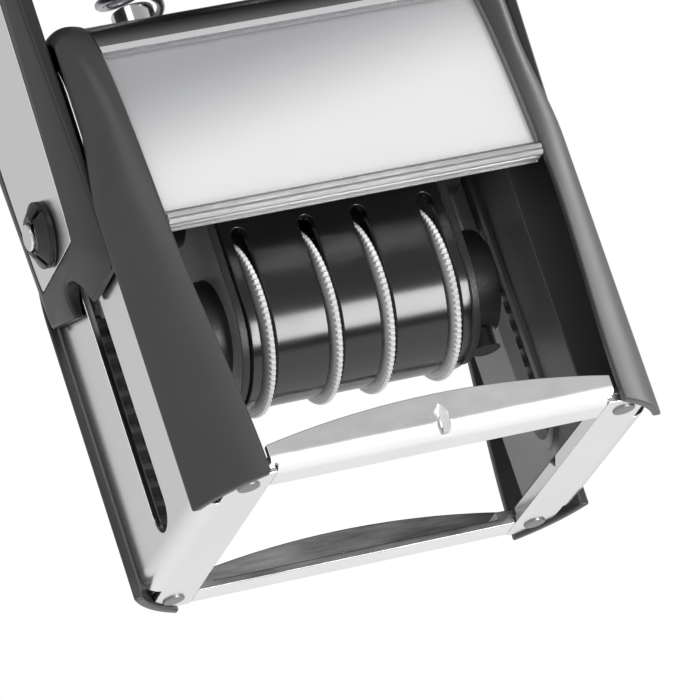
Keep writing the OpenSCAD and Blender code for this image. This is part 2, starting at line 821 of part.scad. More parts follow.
module top_cover() {
    s0 = station(window_high);
    color("gainsboro")
        difference() {
            union() {
                cover_strip(s0, 1, cover_step, cover_step + cover_t, 16, trim_cover_x - seat_gap);
                mirror([0, 1, 0])
                    cover_strip(s0, 1, cover_step, cover_step + cover_t, 16, trim_cover_x - seat_gap);
            }
            for (x = [-spring_x, spring_x])
                translate([x, 0, bridge_top])
                    cylinder(r = spring_r + wire_d / 2 + 1, h = far);
        }
}

module front_window() {
    s0 = station(window_low);
    s1 = station(window_high - 2 * seat_gap);
    half = trim_cover_x - seat_gap;
    y = outline(s0)[0];
    color([0.85, 0.9, 0.92, 0.5])
        mirror([0, 1, 0]) {
            cover_strip(s0, s1, cover_step, cover_step + window_t, 20, half);
            block([-half, y - bead_d, window_low], [half, y - 0.6, window_low + bead_h]);
        }
}

module imprint_card() {
    s0 = station(window_low + bead_h + 1);
    s1 = station(window_high - 1);
    depth = cover_step + window_t + seat_gap;
    color("whitesmoke")
        mirror([0, 1, 0])
            cover_strip(s0, s1, depth, depth + card_t, 20, trim_cover_x - 1);
}

module rear_cover() {
    s0 = station(rear_low);
    s1 = station(felt_z - 0.6);
    color("lightgray")
        cover_strip(s0, s1, cover_step, cover_step + cover_t, 10, trim_cover_x - seat_gap);
}

// Spring: one wire along a helix, with both ends turned upright to stand square on their seats
spring_low_z = bridge_top + seat_gap;
spring_high_z = spring_top - seat_gap;
curl_rings = 8;
wire_sides = 6;
turn_h = 2 * wire_d;
coil_h = spring_high_z - spring_low_z - 2 * turn_h;
function helix(i, n) =
    let (t = i / n, a = 360 * curls * t)
    [spring_r * cos(a), spring_r * sin(a), spring_low_z + turn_h + t * coil_h];
function wire_path(n) = concat(
    [[spring_r, 0, spring_low_z], [spring_r, 0, spring_low_z + wire_d]],
    [for (i = [1:n - 1]) helix(i, n)],
    [[spring_r, 0, spring_high_z - wire_d], [spring_r, 0, spring_high_z]]
);
spring_path = wire_path(curls * curl_rings);
function path_way(p, i) = i == 0 || i == len(p) - 1 ? [0, 0, 1] : unit(p[i + 1] - p[i - 1]);
function ring(p, i) =
    let (way = path_way(p, i))
    let (out = unit([p[i][0], p[i][1], 0]))
    let (side = unit(cross(way, out)))
    let (up = cross(side, way))
    [for (a = [0:360 / wire_sides:359]) p[i] + wire_d / 2 * (cos(a) * up + sin(a) * side)];
last_ring = len(spring_path) - 1;
least_gap = min([for (i = [0:last_ring])
    for (j = [i + curl_rings - 2:1:min(i + curl_rings + 2, last_ring)])
        norm(spring_path[i] - spring_path[j])]) - wire_d;
echo("least gap between the curls of a return spring, mm:", least_gap);

module return_spring() {
    n = len(spring_path);
    points = [for (i = [0:n - 1]) each ring(spring_path, i)];
    skin = [for (r = [0:n - 2], k = [0:wire_sides - 1])
        let (a = r * wire_sides + k, b = r * wire_sides + (k + 1) % wire_sides)
        each [[a, b + wire_sides, b], [a, a + wire_sides, b + wire_sides]]];
    last = (n - 1) * wire_sides;
    ends = [for (k = [1:wire_sides - 2]) each [[0, k, k + 1], [last, last + k + 1, last + k]]];
    color("lightsteelblue")
        translate([spring_x, 0, 0])
            polyhedron(points, concat(skin, ends), convexity = 10);
}

// Handle: a hollow channel with a rounded back, closed at its ends by the arms
handle_round = handle_d / 2;
handle_eave = handle_top - handle_round_h;
function round_back(half, rise, n) = [for (i = [0:n])
    let (a = 180 * i / n, c = cos(a), s = sin(a))
    [half * sign(c) * pow(abs(c), 0.6), handle_eave + rise * pow(abs(s), 0.6)]];
module handle_outline(half, top, low) {
    polygon(concat([[half, low]], round_back(half, top - handle_eave, 24), [[-half, low]]));
}

module handle_sky(drop) {
    sag = handle_fall;
    half = handle_x;
    r = sag > 0 ? (half * half + sag * sag) / (2 * sag) : 1000 * half;
    intersection() {
        translate([0, handle_top - drop - r])
            circle(r, $fn = 360);
        translate([-half - 1, handle_low - 1])
            square([2 * half + 2, handle_top - handle_low + 2]);
    }
}

module handle_form(half, top, low, drop, x_half) {
    intersection() {
        along_x(-x_half, x_half)
            handle_outline(half, top, low);
        along_y(-handle_d, handle_d)
            handle_sky(drop);
    }
}

module handle_shell() {
    inner = handle_round - handle_wall;
    skin_t = grip_t + handle_wall;
    rim_z = handle_low + rim_lift;
    ceiling = handle_top - skin_t;
    color([0.15, 0.15, 0.16])
        difference() {
            union() {
                difference() {
                    handle_form(handle_round - grip_t, handle_top - grip_t, rim_z, grip_t, handle_x);
                    handle_form(inner - grip_t, ceiling, handle_low - 1, skin_t, handle_x + 1);
                }
                for (x = [-spring_x, spring_x])
                    translate([x, 0, spring_top - pin_len]) {
                        cylinder(r = post_r, h = pin_len + 1);
                        translate([0, 0, pin_len])
                            cylinder(r = spring_r + wire_d, h = ceiling - handle_fall / 2 - spring_top + 1);
                    }
                for (side = [0, 1])
                    mirror([side, 0, 0])
                        handle_lugs();
            }
            for (side = [0, 1])
                mirror([side, 0, 0])
                    handle_screw_holes(shaft_gap);
        }
}

// Lugs behind the arms take the handle screws
lug_z = handle_top - lug_drop;
lug_top = handle_top - handle_fall - grip_t - 2 * seat_gap;
screw_head_r = handle_screw_d * 0.9;
screw_head_h = handle_screw_d * 0.4;
module handle_lugs() {
    y = lug_y + lug_rim;
    block([handle_x - lug_len, -y, lug_z - lug_rim], [handle_x, y, lug_top]);
}

module handle_screw_holes(gap) {
    for (y = [-lug_y, lug_y])
        rod_x(handle_screw_d / 2 + gap, handle_x - lug_len + 1, arm_out + 1, y, lug_z);
}

module handle_screws() {
    color("darkgray")
        for (side = [0, 1], y = [-lug_y, lug_y])
            mirror([side, 0, 0]) {
                rod_x(handle_screw_d / 2, handle_x - lug_len + 2, arm_out, y, lug_z);
                rod_x(screw_head_r, arm_out - screw_head_h, arm_out, y, lug_z);
            }
}

module handle_grip() {
    bed = grip_t - seat_gap / 2;
    color([0.3, 0.3, 0.31])
        difference() {
            handle_form(handle_round, handle_top, handle_eave - grip_skirt, 0, handle_x - grip_end);
            handle_form(handle_round - bed, handle_top - bed, handle_low, bed, handle_x);
        }
}

// Half depth of a leg that widens quickly at first and slowly higher up
function taper(d0, d1, z0, z1, t) = [(d0 + (d1 - d0) * sqrt(t)) / 2, z0 + (z1 - z0) * t];
arm_knee_z = handle_low - hip_h;
arm_edge_x = arm_in + arm_edge_t;
arm_face_rim = 0.6;

// Arm: a leg with a thin edge and a raised face, which widens into the end of the handle
module arm_outline() {
    wide = handle_round - grip_t + arm_over;
    top = handle_top - handle_fall - grip_t;
    hip = [for (t = steps(0, 1, 8)) [arm_half + (wide - arm_half) * ease(t), arm_knee_z + hip_h * t]];
    shoulder = [for (a = steps(0, 90, 6))
        [wide - arm_corner_r, top - arm_corner_r] + polar(arm_corner_r, a)];
    polygon(both_sides(concat([[arm_half, arm_low]], hip, shoulder)));
}

// The flanks slope from the thin edge up to the face and run out below the handle
module arm_flank_cut() {
    face = arm_face_d / 2;
    slope = (arm_half - face) / (arm_out - arm_edge_x);
    lean = atan((arm_half - face) / (arm_knee_z - inlay_low));
    translate([0, face, inlay_low])
        rotate([-lean, 0, 0])
            linear_extrude(far, center = true)
                polygon([
                    [arm_edge_x, arm_half - face], [arm_out + 1, -slope],
                    [arm_out + 1, far], [arm_edge_x, far]
                ]);
}

module arm_slant_cut() {
    rise = (arm_slant - arm_face_rim) / (arm_out - arm_edge_x);
    z = arm_low + rise * (arm_out + 1 - arm_edge_x);
    along_y(-far / 2, far / 2)
        polygon([[arm_edge_x, arm_low], [arm_out + 1, z], [arm_out + 1, 0], [arm_edge_x, 0]]);
}

module arm_heel_cut() {
    z = arm_low + arm_heel;
    along_x(arm_in - 1, arm_out + 1)
        polygon([[0, arm_low], [arm_half, z], [far, z], [far, 0], [0, 0]]);
}

module arm_fork_cut() {
    along_x(arm_in - 1, arm_out + 1)
        slot_outline(fork_w, 0, arm_low + fork_h - fork_w / 2);
}

module inlay_outline(gap) {
    r = inlay_top_d / 2 + gap;
    spring_z = inlay_top - inlay_top_d / 2;
    leg = [for (t = steps(0, 1, 10))
        taper(inlay_d + 2 * gap, 2 * r, inlay_low - gap, spring_z, t * t)];
    polygon(both_sides(leg));
    translate([0, spring_z])
        circle(r);
}

module arm() {
    color([0.2, 0.2, 0.21])
        difference() {
            along_x(arm_in, arm_out)
                arm_outline();
            arm_slant_cut();
            arm_heel_cut();
            arm_fork_cut();
            for (side = [0, 1])
                mirror([0, side, 0])
                    arm_flank_cut();
            along_x(arm_out - inlay_t, arm_out + 1)
                inlay_outline(seat_gap);
            rod_x(axle_r + shaft_gap, arm_in - 1, arm_out + 1, 0, axle_z);
            handle_screw_holes(shaft_gap);
            for (y = [-lug_y, lug_y])
                rod_x(screw_head_r + shaft_gap, arm_out - screw_head_h - seat_gap, arm_out + 1, y, lug_z);
        }
}

module arm_inlay() {
    color("gainsboro")
        difference() {
            along_x(arm_out - inlay_t, arm_out)
                inlay_outline(0);
            rod_x(axle_r + 3 * shaft_gap, arm_in, arm_out + 1, 0, axle_z);
        }
}

// Carriage: two cheeks, a front and a back wall and a deck under the text plate
module cheek_outline() {
    translate([0, wheel_z])
        circle(cheek_r);
    translate([-cheek_r, wheel_z])
        square([2 * cheek_r, deck_z - wheel_z + overlap]);
}

module carriage_cheek() {
    along_x(cheek_in, cheek_out)
        cheek_outline();
    rod_x(boss_r, cheek_out - overlap, boss_out, 0, wheel_z);
    translate([(cheek_out + boss_out) / 2, 0, wheel_z - peg_drop])
        cylinder(d = peg_d, h = peg_drop);
    rod_x(axle_r + axle_boss_t, cheek_out - overlap, liner_in - rim_h - 2 * slide_gap, 0, axle_z);
}

module carriage_body() {
    wall_low = drum_top + seat_gap;
    wall_x = cheek_in + overlap;
    deck_x = die_x - 0.5;
    color([0.17, 0.17, 0.18])
        difference() {
            union() {
                carriage_cheek();
                mirrored_left()
                    carriage_cheek();
                for (side = [0, 1])
                    mirror([0, side, 0])
                        block([-wall_x, cheek_r - drum_wall, wall_low],
                            [wall_x, cheek_r, deck_z + overlap]);
                block([-deck_x, -cheek_r, deck_z], [deck_x, cheek_r, die_z]);
            }
            rod_x(axle_r + shaft_gap, -far / 2, far / 2, 0, axle_z);
            rod_x(wheel_axle_d / 2 + shaft_gap, -boss_out + 1, boss_out - 1, 0, wheel_z);
            block([-date_x, -date_d / 2, deck_z - 1], [date_x, date_d / 2, die_z + 1]);
            nose_bar(seat_gap);
        }
}

module flip_axle() {
    color("lightsteelblue")
        union() {
            rod_x(axle_r, -arm_out, arm_out, 0, axle_z);
            rod_x(axle_tip_d / 2, -axle_end, axle_end, 0, axle_z);
        }
}

// Cap that grips the tip of the axle: a low cone with three slits
module axle_cap() {
    slit = 0.8;
    rim = cap_len * 0.4;
    color([0.12, 0.12, 0.13])
        difference() {
            union() {
                rod_x(cap_d / 2, cap_x0, cap_x0 + rim + overlap, 0, axle_z);
                translate([cap_x0 + rim, 0, axle_z])
                    rotate([0, 90, 0])
                        cylinder(d1 = cap_d, d2 = axle_tip_d + 2, h = cap_len - rim);
            }
            rod_x(axle_tip_d / 2 + shaft_gap, cap_x0 - 1, cap_x0 + cap_len + 1, 0, axle_z);
            for (a = [30:120:270])
                translate([cap_x0 + rim, 0, axle_z])
                    rotate([a, 0, 0])
                        translate([0, axle_tip_d / 2 + slit, -slit / 2])
                            cube([cap_len, cap_d, slit]);
        }
}

module die_plate() {
    color([0.25, 0.25, 0.26])
        difference() {
            block([-die_x, -die_d / 2, die_z], [die_x, die_d / 2, rubber_z]);
            block([-date_x, -date_d / 2, die_z - 1], [date_x, date_d / 2, rubber_z + 1]);
        }
}

// Printing rubber: a plain border round the plate and round the date
module rubber_die() {
    floor_t = rubber_t / 2;
    ridge = 1;
    inner_x = date_x + 1;
    inner_y = date_d / 2 + 1;
    border_x = die_x - 2;
    border_y = die_d / 2 - 1;
    color("firebrick")
        difference() {
            block([-border_x, -border_y, rubber_z], [border_x, border_y, print_z]);
            block([-date_x, -date_d / 2, rubber_z - 1], [date_x, date_d / 2, print_z + 1]);
            difference() {
                block([ridge - border_x, ridge - border_y, rubber_z + floor_t],
                    [border_x - ridge, border_y - ridge, print_z + 1]);
                block([-inner_x, -inner_y, rubber_z], [inner_x, inner_y, print_z + 2]);
            }
        }
}

// Drum cover: a trough round the setting wheels with one slot for each wheel
module drum_outline(r) {
    translate([0, wheel_z])
        circle(r);
    translate([-r, wheel_z])
        square([2 * r, drum_top - wheel_z]);
}

module date_drum() {
    slot_top = wheel_z + drum_r - 2;
    color([0.1, 0.1, 0.11])
        difference() {
            along_x(-drum_x, drum_x)
                difference() {
                    drum_outline(drum_r);
                    drum_outline(drum_r - drum_wall);
                    translate([-drum_r / 2, drum_top - 1])
                        square([drum_r, 2]);
                }
            for (x = wheel_xs) {
                block([x - drum_slot_w / 2, -drum_r - 1, 0], [x + drum_slot_w / 2, drum_r + 1, slot_top]);
                translate([x, drum_r + 1, slot_top])
                    rotate([90, 0, 0])
                        cylinder(d = drum_slot_w, h = 2 * drum_r + 2);
            }
        }
}

module wheel_axle() {
    color("silver")
        rod_x(wheel_axle_d / 2, -boss_out + 1.2, boss_out - 1.2, 0, wheel_z);
}

// Nose: a bar with a round edge that holds the bands against the paper
module nose_bar(gap) {
    r = nose_r + gap;
    foot_half = cheek_in + cheek_t / 2 + gap;
    foot_z = axle_z + axle_r + 2 * slide_gap - gap;
    tip_half = date_x - slide_gap;
    along_x(-foot_half, foot_half)
        translate([-r, foot_z])
            square([2 * r, deck_z - slide_gap + gap - foot_z]);
    along_x(-tip_half, tip_half) {
        translate([0, nose_z])
            circle(r);
        translate([-r, foot_z])
            square([2 * r, nose_z - foot_z]);
    }
}

module band_nose() {
    color("ivory")
        nose_bar(0);
}

// Two circles joined by their outer tangents
module loop_outline(r0, z0, r1, z1) {
    tilt = asin((r0 - r1) / (z1 - z0));
    translate([0, z0])
        circle(r0);
    translate([0, z1])
        circle(r1);
    polygon([
        [r0 * cos(tilt), z0 + r0 * sin(tilt)], [r1 * cos(tilt), z1 + r1 * sin(tilt)],
        [-r1 * cos(tilt), z1 + r1 * sin(tilt)], [-r0 * cos(tilt), z0 + r0 * sin(tilt)]
    ]);
}

function band_x0(i) = band_side[i] > 0 ? wheel_xs[i] + band_gap : wheel_xs[i] - band_gap - band_w;

module date_band(i) {
    nose_in = nose_r + seat_gap;
    color([0.3, 0.3, 0.32])
        along_x(band_x0(i), band_x0(i) + band_w)
            difference() {
                loop_outline(band_in_r + band_t, wheel_z, nose_in + band_t - seat_gap, nose_z);
                loop_outline(band_in_r, wheel_z, nose_in, nose_z);
            }
}

// Setting wheel: a thin serrated rim and the hub that drives its band
module setting_wheel(i) {
    points = [for (k = [0:wheel_teeth - 1]) each [
        polar(wheel_r - wheel_tooth_h, 360 * k / wheel_teeth),
        polar(wheel_r, 360 * (k + 0.35) / wheel_teeth),
        polar(wheel_r, 360 * (k + 0.65) / wheel_teeth)
    ]];
    x = wheel_xs[i];
    hub_x0 = band_side[i] > 0 ? x : x - hub_len;
    color("white")
        difference() {
            union() {
                along_x(x - wheel_t / 2, x + wheel_t / 2)
                    translate([0, wheel_z])
                        polygon(points);
                rod_x(hub_r, hub_x0, hub_x0 + hub_len, 0, wheel_z);
            }
            rod_x(wheel_axle_d / 2 + shaft_gap, x - far / 2, x + far / 2, 0, wheel_z);
        }
}

// Ink tray: a roof over the felt, two runners and a rear face that follows the outline
module ink_tray() {
    y_face = inset(station(felt_z + felt_t), cover_step + cover_t)[0];
    wall_x = tray_x - tray_wall;
    skirt_z = felt_z + ink_gap;
    s0 = station(felt_z - 0.3);
    s1 = station(window_high - 0.3);
    color([0.18, 0.18, 0.19])
        union() {
            block([-tray_x, -tray_y, felt_z + felt_t], [tray_x, y_face, tray_top]);
            block([-tray_x, -tray_y, skirt_z], [tray_x, -felt_y, tray_top]);
            for (side = [0, 1])
                mirror([side, 0, 0]) {
                    block([wall_x, -tray_y, skirt_z], [tray_x, y_face, tray_top]);
                    block([wall_x, -tray_y, runner_z], [liner_in - slide_gap, y_face, runner_z + runner_t]);
                }
            cover_strip(s0, s1, cover_step, cover_step + cover_t, 8, trim_cover_x - slide_gap);
            finger_grip();
        }
}

module finger_grip() {
    z = (felt_z + window_high) / 2;
    rib_r = 0.7;
    step = 1.7;
    for (k = [-step, 0, step])
        rod_x(rib_r, -rib_len / 2, rib_len / 2, outline(station(z + k))[0] - rib_r / 2, z + k);
}

module ink_felt() {
    felt_x = tray_x - tray_wall - seat_gap;
    color("midnightblue")
        block([-felt_x, -felt_y + seat_gap, felt_z], [felt_x, felt_y, felt_z + felt_t - seat_gap]);
}

mirrored_left() side_plate();  // side_plate_left
side_plate();  // side_plate_right
mirror([0, 1, 0]) rail();  // front_rail
rail();  // rear_rail
frame_rivets();
rotate([0, 0, 180]) corner_trim();  // corner_trim_front_left
mirror([0, 1, 0]) corner_trim();  // corner_trim_front_right
mirrored_left() corner_trim();  // corner_trim_rear_left
corner_trim();  // corner_trim_rear_right
mirrored_left() guide_liner();  // guide_liner_left
guide_liner();  // guide_liner_right
mirrored_left() flip_rack();  // flip_rack_left
flip_rack();  // flip_rack_right
top_bridge();
bridge_screws();
spring_posts();
top_cover();
front_window();
imprint_card();
rear_cover();
mirrored_left() return_spring();  // return_spring_left
return_spring();  // return_spring_right
handle_shell();
handle_grip();
mirrored_left() arm();  // arm_left
arm();  // arm_right
mirrored_left() arm_inlay();  // arm_inlay_left
arm_inlay();  // arm_inlay_right
handle_screws();
carriage_body();
flip_axle();
mirrored_left() axle_cap();  // axle_cap_left
axle_cap();  // axle_cap_right
mirrored_left() flip_sector();  // flip_sector_left
flip_sector();  // flip_sector_right
die_plate();
rubber_die();
date_drum();
wheel_axle();
band_nose();
date_band(0);  // date_band_1
date_band(1);  // date_band_2
date_band(2);  // date_band_3
date_band(3);  // date_band_4
setting_wheel(0);  // setting_wheel_1
setting_wheel(1);  // setting_wheel_2
setting_wheel(2);  // setting_wheel_3
setting_wheel(3);  // setting_wheel_4
ink_tray();
ink_felt();
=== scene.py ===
import bmesh
import bpy
import json
import math
from mathutils import Matrix, Vector

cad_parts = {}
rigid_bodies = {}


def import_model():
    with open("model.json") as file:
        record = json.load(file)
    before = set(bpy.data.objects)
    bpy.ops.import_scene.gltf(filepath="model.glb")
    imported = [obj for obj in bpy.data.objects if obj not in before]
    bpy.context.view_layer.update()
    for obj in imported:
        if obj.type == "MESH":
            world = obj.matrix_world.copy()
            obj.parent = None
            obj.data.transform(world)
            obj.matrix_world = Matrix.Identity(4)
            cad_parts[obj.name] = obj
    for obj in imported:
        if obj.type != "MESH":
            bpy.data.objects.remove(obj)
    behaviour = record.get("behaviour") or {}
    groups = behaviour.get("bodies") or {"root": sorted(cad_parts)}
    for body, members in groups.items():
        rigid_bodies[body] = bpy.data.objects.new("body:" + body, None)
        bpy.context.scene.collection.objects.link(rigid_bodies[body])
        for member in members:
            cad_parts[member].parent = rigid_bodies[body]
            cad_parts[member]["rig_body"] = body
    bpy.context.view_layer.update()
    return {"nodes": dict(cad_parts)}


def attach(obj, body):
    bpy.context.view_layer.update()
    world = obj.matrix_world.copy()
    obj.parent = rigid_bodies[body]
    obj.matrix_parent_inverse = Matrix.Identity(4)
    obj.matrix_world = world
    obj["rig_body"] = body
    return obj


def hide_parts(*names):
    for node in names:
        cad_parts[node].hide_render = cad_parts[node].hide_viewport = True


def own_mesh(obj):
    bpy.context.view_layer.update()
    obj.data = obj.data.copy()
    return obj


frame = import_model()
nodes = frame["nodes"]
print("frame loaded:", len(nodes), "CAD nodes")


# node tree helpers for the finishes
rampEnds = (0.25, 0.75)
colourSockets = {"first": 6, "second": 7, "result": 2}  # places of the colour sockets on a mix node


def startFinish(name, colour, roughness, metallic=0.0):
    finish = bpy.data.materials.new(name)
    finish.use_nodes = True
    shader = finish.node_tree.nodes["Principled BSDF"]
    shader.inputs["Base Color"].default_value = (*colour, 1)
    shader.inputs["Roughness"].default_value = roughness
    shader.inputs["Metallic"].default_value = metallic
    return finish, finish.node_tree, shader


def stretched(tree, scale=(1, 1, 1)):  # object coordinates, drawn out along the grain
    coords = tree.nodes.new("ShaderNodeTexCoord")
    mapping = tree.nodes.new("ShaderNodeMapping")
    mapping.inputs["Scale"].default_value = scale
    tree.links.new(coords.outputs["Object"], mapping.inputs["Vector"])
    return mapping.outputs["Vector"]


def speckle(tree, vector, scale, detail=4.0, rough=0.55):
    noise = tree.nodes.new("ShaderNodeTexNoise")
    noise.inputs["Scale"].default_value = scale
    noise.inputs["Detail"].default_value = detail
    noise.inputs["Roughness"].default_value = rough
    tree.links.new(vector, noise.inputs["Vector"])
    return noise.outputs["Fac"]


def spread(tree, value, low, high, fromLow=0.3, fromHigh=0.7):
    remap = tree.nodes.new("ShaderNodeMapRange")
    remap.inputs["From Min"].default_value = fromLow
    remap.inputs["From Max"].default_value = fromHigh
    remap.inputs["To Min"].default_value = low
    remap.inputs["To Max"].default_value = high
    tree.links.new(value, remap.inputs["Value"])
    return remap.outputs["Result"]


def tinted(tree, value, dark, light):
    ramp = tree.nodes.new("ShaderNodeValToRGB")
    ramp.color_ramp.elements[0].color = (*dark, 1)
    ramp.color_ramp.elements[1].color = (*light, 1)
    ramp.color_ramp.elements[0].position = rampEnds[0]
    ramp.color_ramp.elements[1].position = rampEnds[1]
    tree.links.new(value, ramp.inputs["Fac"])
    return ramp.outputs["Color"]


def shaded(colour, amount):
    return tuple(min(1.0, c * amount) for c in colour)


def varied(tree, value, colour, less, more):  # one colour, drifting between a darker and a lighter share of it
    return tinted(tree, value, shaded(colour, less), shaded(colour, more))


def coloured(tree, shader, colour):
    tree.links.new(colour, shader.inputs["Base Color"])


def glossed(tree, shader, value, gloss):
    tree.links.new(spread(tree, value, *gloss), shader.inputs["Roughness"])


def raised(tree, shader, height, strength, distance):
    bump = tree.nodes.new("ShaderNodeBump")
    bump.inputs["Strength"].default_value = strength
    bump.inputs["Distance"].default_value = distance
    tree.links.new(height, bump.inputs["Height"])
    tree.links.new(bump.outputs["Normal"], shader.inputs["Normal"])


def combined(tree, operation, first, second):
    sums = tree.nodes.new("ShaderNodeMath")
    sums.operation = operation
    tree.links.new(first, sums.inputs[0])
    tree.links.new(second, sums.inputs[1])
    return sums


# moulded plastic or rubber: a fine pressed grain with slow drifts of tone and gloss
mouldedGrain = {"cloud": 60.0, "cloudDetail": 3.0, "grainDetail": 2.0, "bumpHeight": 0.0001, "shine": 0.5}
finishLooks = {
    "trimPlastic": {"colour": (0.052, 0.052, 0.054), "vary": 0.10, "gloss": (0.28, 0.36),
                    "grain": 5200.0, "bump": 0.10},
    "bowPlastic": {"colour": (0.020, 0.020, 0.022), "vary": 0.10, "gloss": (0.34, 0.44),
                   "grain": 5200.0, "bump": 0.10},
    "linerPlastic": {"colour": (0.022, 0.022, 0.024), "vary": 0.15, "gloss": (0.30, 0.42),
                     "grain": 3800.0, "bump": 0.16},
    "drumPlastic": {"colour": (0.006, 0.006, 0.007), "vary": 0.20, "gloss": (0.17, 0.24),
                    "grain": 2400.0, "bump": 0.02, "shine": 0.68},
    "capPlastic": {"colour": (0.012, 0.012, 0.013), "vary": 0.20, "gloss": (0.28, 0.36),
                   "grain": 5200.0, "bump": 0.08},
    "wheelPlastic": {"colour": (0.90, 0.90, 0.89), "vary": 0.05, "gloss": (0.32, 0.42),
                     "grain": 4200.0, "bump": 0.05},
    "gearPlastic": {"colour": (0.55, 0.55, 0.53), "vary": 0.07, "gloss": (0.38, 0.50),
                    "grain": 4200.0, "bump": 0.08},
    "platePlastic": {"colour": (0.05, 0.05, 0.053), "vary": 0.12, "gloss": (0.40, 0.52),
                     "grain": 4200.0, "bump": 0.10},
    "gripRubber": {"colour": (0.030, 0.030, 0.031), "vary": 0.14, "gloss": (0.58, 0.72),
                   "grain": 6500.0, "bump": 0.30},
    "printRubber": {"colour": (0.30, 0.07, 0.05), "vary": 0.18, "gloss": (0.55, 0.70),
                    "grain": 4800.0, "bump": 0.20},
    "bandRubber": {"colour": (0.06, 0.06, 0.065), "vary": 0.15, "gloss": (0.55, 0.70),
                   "grain": 5200.0, "bump": 0.22},
    # the lip strip is real; its pale colour is a painted highlight along the top cover's front edge
    "lipPaintedHighlight": {"colour": (0.64, 0.64, 0.65), "vary": 0.04, "gloss": (0.24, 0.34),
                 "grain": 3000.0, "bump": 0.04},
    "rearPaint": {"colour": (0.30, 0.30, 0.305), "vary": 0.10, "gloss": (0.42, 0.55),
                  "grain": 1500.0, "bump": 0.35},
}


def mouldedFinish(name, look):
    g = mouldedGrain
    finish, tree, shader = startFinish(name, look["colour"], look["gloss"][0])
    even = stretched(tree)
    cloud = speckle(tree, even, g["cloud"], g["cloudDetail"])
    grain = speckle(tree, even, look["grain"], g["grainDetail"])
    coloured(tree, shader, varied(tree, cloud, look["colour"], 1 - look["vary"], 1 + look["vary"]))
    glossed(tree, shader, cloud, look["gloss"])
    raised(tree, shader, grain, look["bump"], g["bumpHeight"])
    shader.inputs["Specular IOR Level"].default_value = look.get("shine", g["shine"])
    return finish


# faces turned to the middle of the machine get painted shade: dark streaks that stand for the reflection of the
# dark insides
innerShadeSet = {"streaks": (70, 200, 520), "detail": 6.0, "rough": 0.65, "turnFrom": -0.016, "turnTo": -0.006}


def paintedInnerShade(tree, colour, dark, light):
    s = innerShadeSet
    facing = tree.nodes.new("ShaderNodeNewGeometry")
    turnedIn = tree.nodes.new("ShaderNodeVectorMath")
    turnedIn.operation = "MULTIPLY"
    tree.links.new(facing.outputs["Position"], turnedIn.inputs[0])
    tree.links.new(facing.outputs["Normal"], turnedIn.inputs[1])
    split = tree.nodes.new("ShaderNodeSeparateXYZ")
    tree.links.new(turnedIn.outputs["Vector"], split.inputs["Vector"])
    streaks = speckle(tree, stretched(tree, s["streaks"]), 1.0, s["detail"], s["rough"])
    # painted shade: dark streaks in place of the reflected dark insides
    shadeStreaks = tinted(tree, streaks, (dark, dark, dark), (light, light, light))
    mix = tree.nodes.new("ShaderNodeMix")
    mix.data_type = "RGBA"
    share = spread(tree, split.outputs["Y"], 1.0, 0.0, s["turnFrom"], s["turnTo"])
    tree.links.new(share, mix.inputs["Factor"])
    tree.links.new(colour, mix.inputs[colourSockets["first"]])
    tree.links.new(shadeStreaks, mix.inputs[colourSockets["second"]])
    return mix.outputs[colourSockets["result"]]


# drawn, rolled or polished metal: fine lines along the grain and faint smears of handling
metalGrain = {"lineDetail": 3.0, "lineRough": 0.6, "lineShare": 0.6, "smear": 45.0, "smearDetail": 4.0,
              "smearShare": 0.4, "bumpHeight": 0.00005}
metalLooks = {
    "plateSteel": {"colour": (0.84, 0.84, 0.85), "vary": 0.03, "gloss": (0.16, 0.24),
                   "along": (900, 900, 60), "bump": 0.04},
    # inner: the dark and light of the painted shade on inward faces
    "railChrome": {"colour": (0.88, 0.88, 0.89), "vary": 0.05, "gloss": (0.28, 0.38),
                   "along": (300, 500, 500), "bump": 0.2, "inner": (0.14, 0.62)},
    "rivetSteel": {"colour": (0.26, 0.26, 0.27), "vary": 0.10, "gloss": (0.32, 0.45),
                   "along": (1500, 1500, 1500), "bump": 0.08},
    "inlaySteel": {"colour": (0.86, 0.86, 0.87), "vary": 0.03, "gloss": (0.24, 0.34),
                   "along": (1400, 1400, 40), "bump": 0.06, "drawn": 0.4},
    "axleSteel": {"colour": (0.78, 0.78, 0.79), "vary": 0.04, "gloss": (0.10, 0.18),
                  "along": (1600, 200, 200), "bump": 0.03},
    "springWire": {"colour": (0.46, 0.46, 0.48), "vary": 0.08, "gloss": (0.20, 0.30),
                   "along": (600, 600, 600), "bump": 0.05},
    "coverMetal": {"colour": (0.56, 0.56, 0.57), "vary": 0.03, "gloss": (0.14, 0.20),
                   "along": (30, 1200, 1200), "bump": 0.03},
}


def metalFinish(name, look):
    g = metalGrain
    finish, tree, shader = startFinish(name, look["colour"], look["gloss"][0], metallic=1.0)
    lines = speckle(tree, stretched(tree, look["along"]), 1.0, g["lineDetail"], g["lineRough"])
    smear = speckle(tree, stretched(tree), g["smear"], g["smearDetail"])
    colour = varied(tree, smear, look["colour"], 1 - look["vary"], 1 + look["vary"] / 2)
    # faces turned inward get painted shade, a painted reflection of the dark insides
    if "inner" in look:
        colour = paintedInnerShade(tree, colour, *look["inner"])
    coloured(tree, shader, colour)
    blend = tree.nodes.new("ShaderNodeMath")
    blend.operation = "MULTIPLY_ADD"
    blend.inputs[1].default_value = g["lineShare"]
    tree.links.new(lines, blend.inputs[0])
    part = tree.nodes.new("ShaderNodeMath")
    part.operation = "MULTIPLY"
    part.inputs[1].default_value = g["smearShare"]
    tree.links.new(smear, part.inputs[0])
    tree.links.new(part.outputs[0], blend.inputs[2])
    glossed(tree, shader, blend.outputs[0], look["gloss"])
    raised(tree, shader, lines, look["bump"], g["bumpHeight"])
    shader.inputs["Anisotropic"].default_value = look.get("drawn", 0.0)
    return finish


finishes = {name: mouldedFinish(name, look) for name, look in finishLooks.items()}
finishes.update({name: metalFinish(name, look) for name, look in metalLooks.items()})
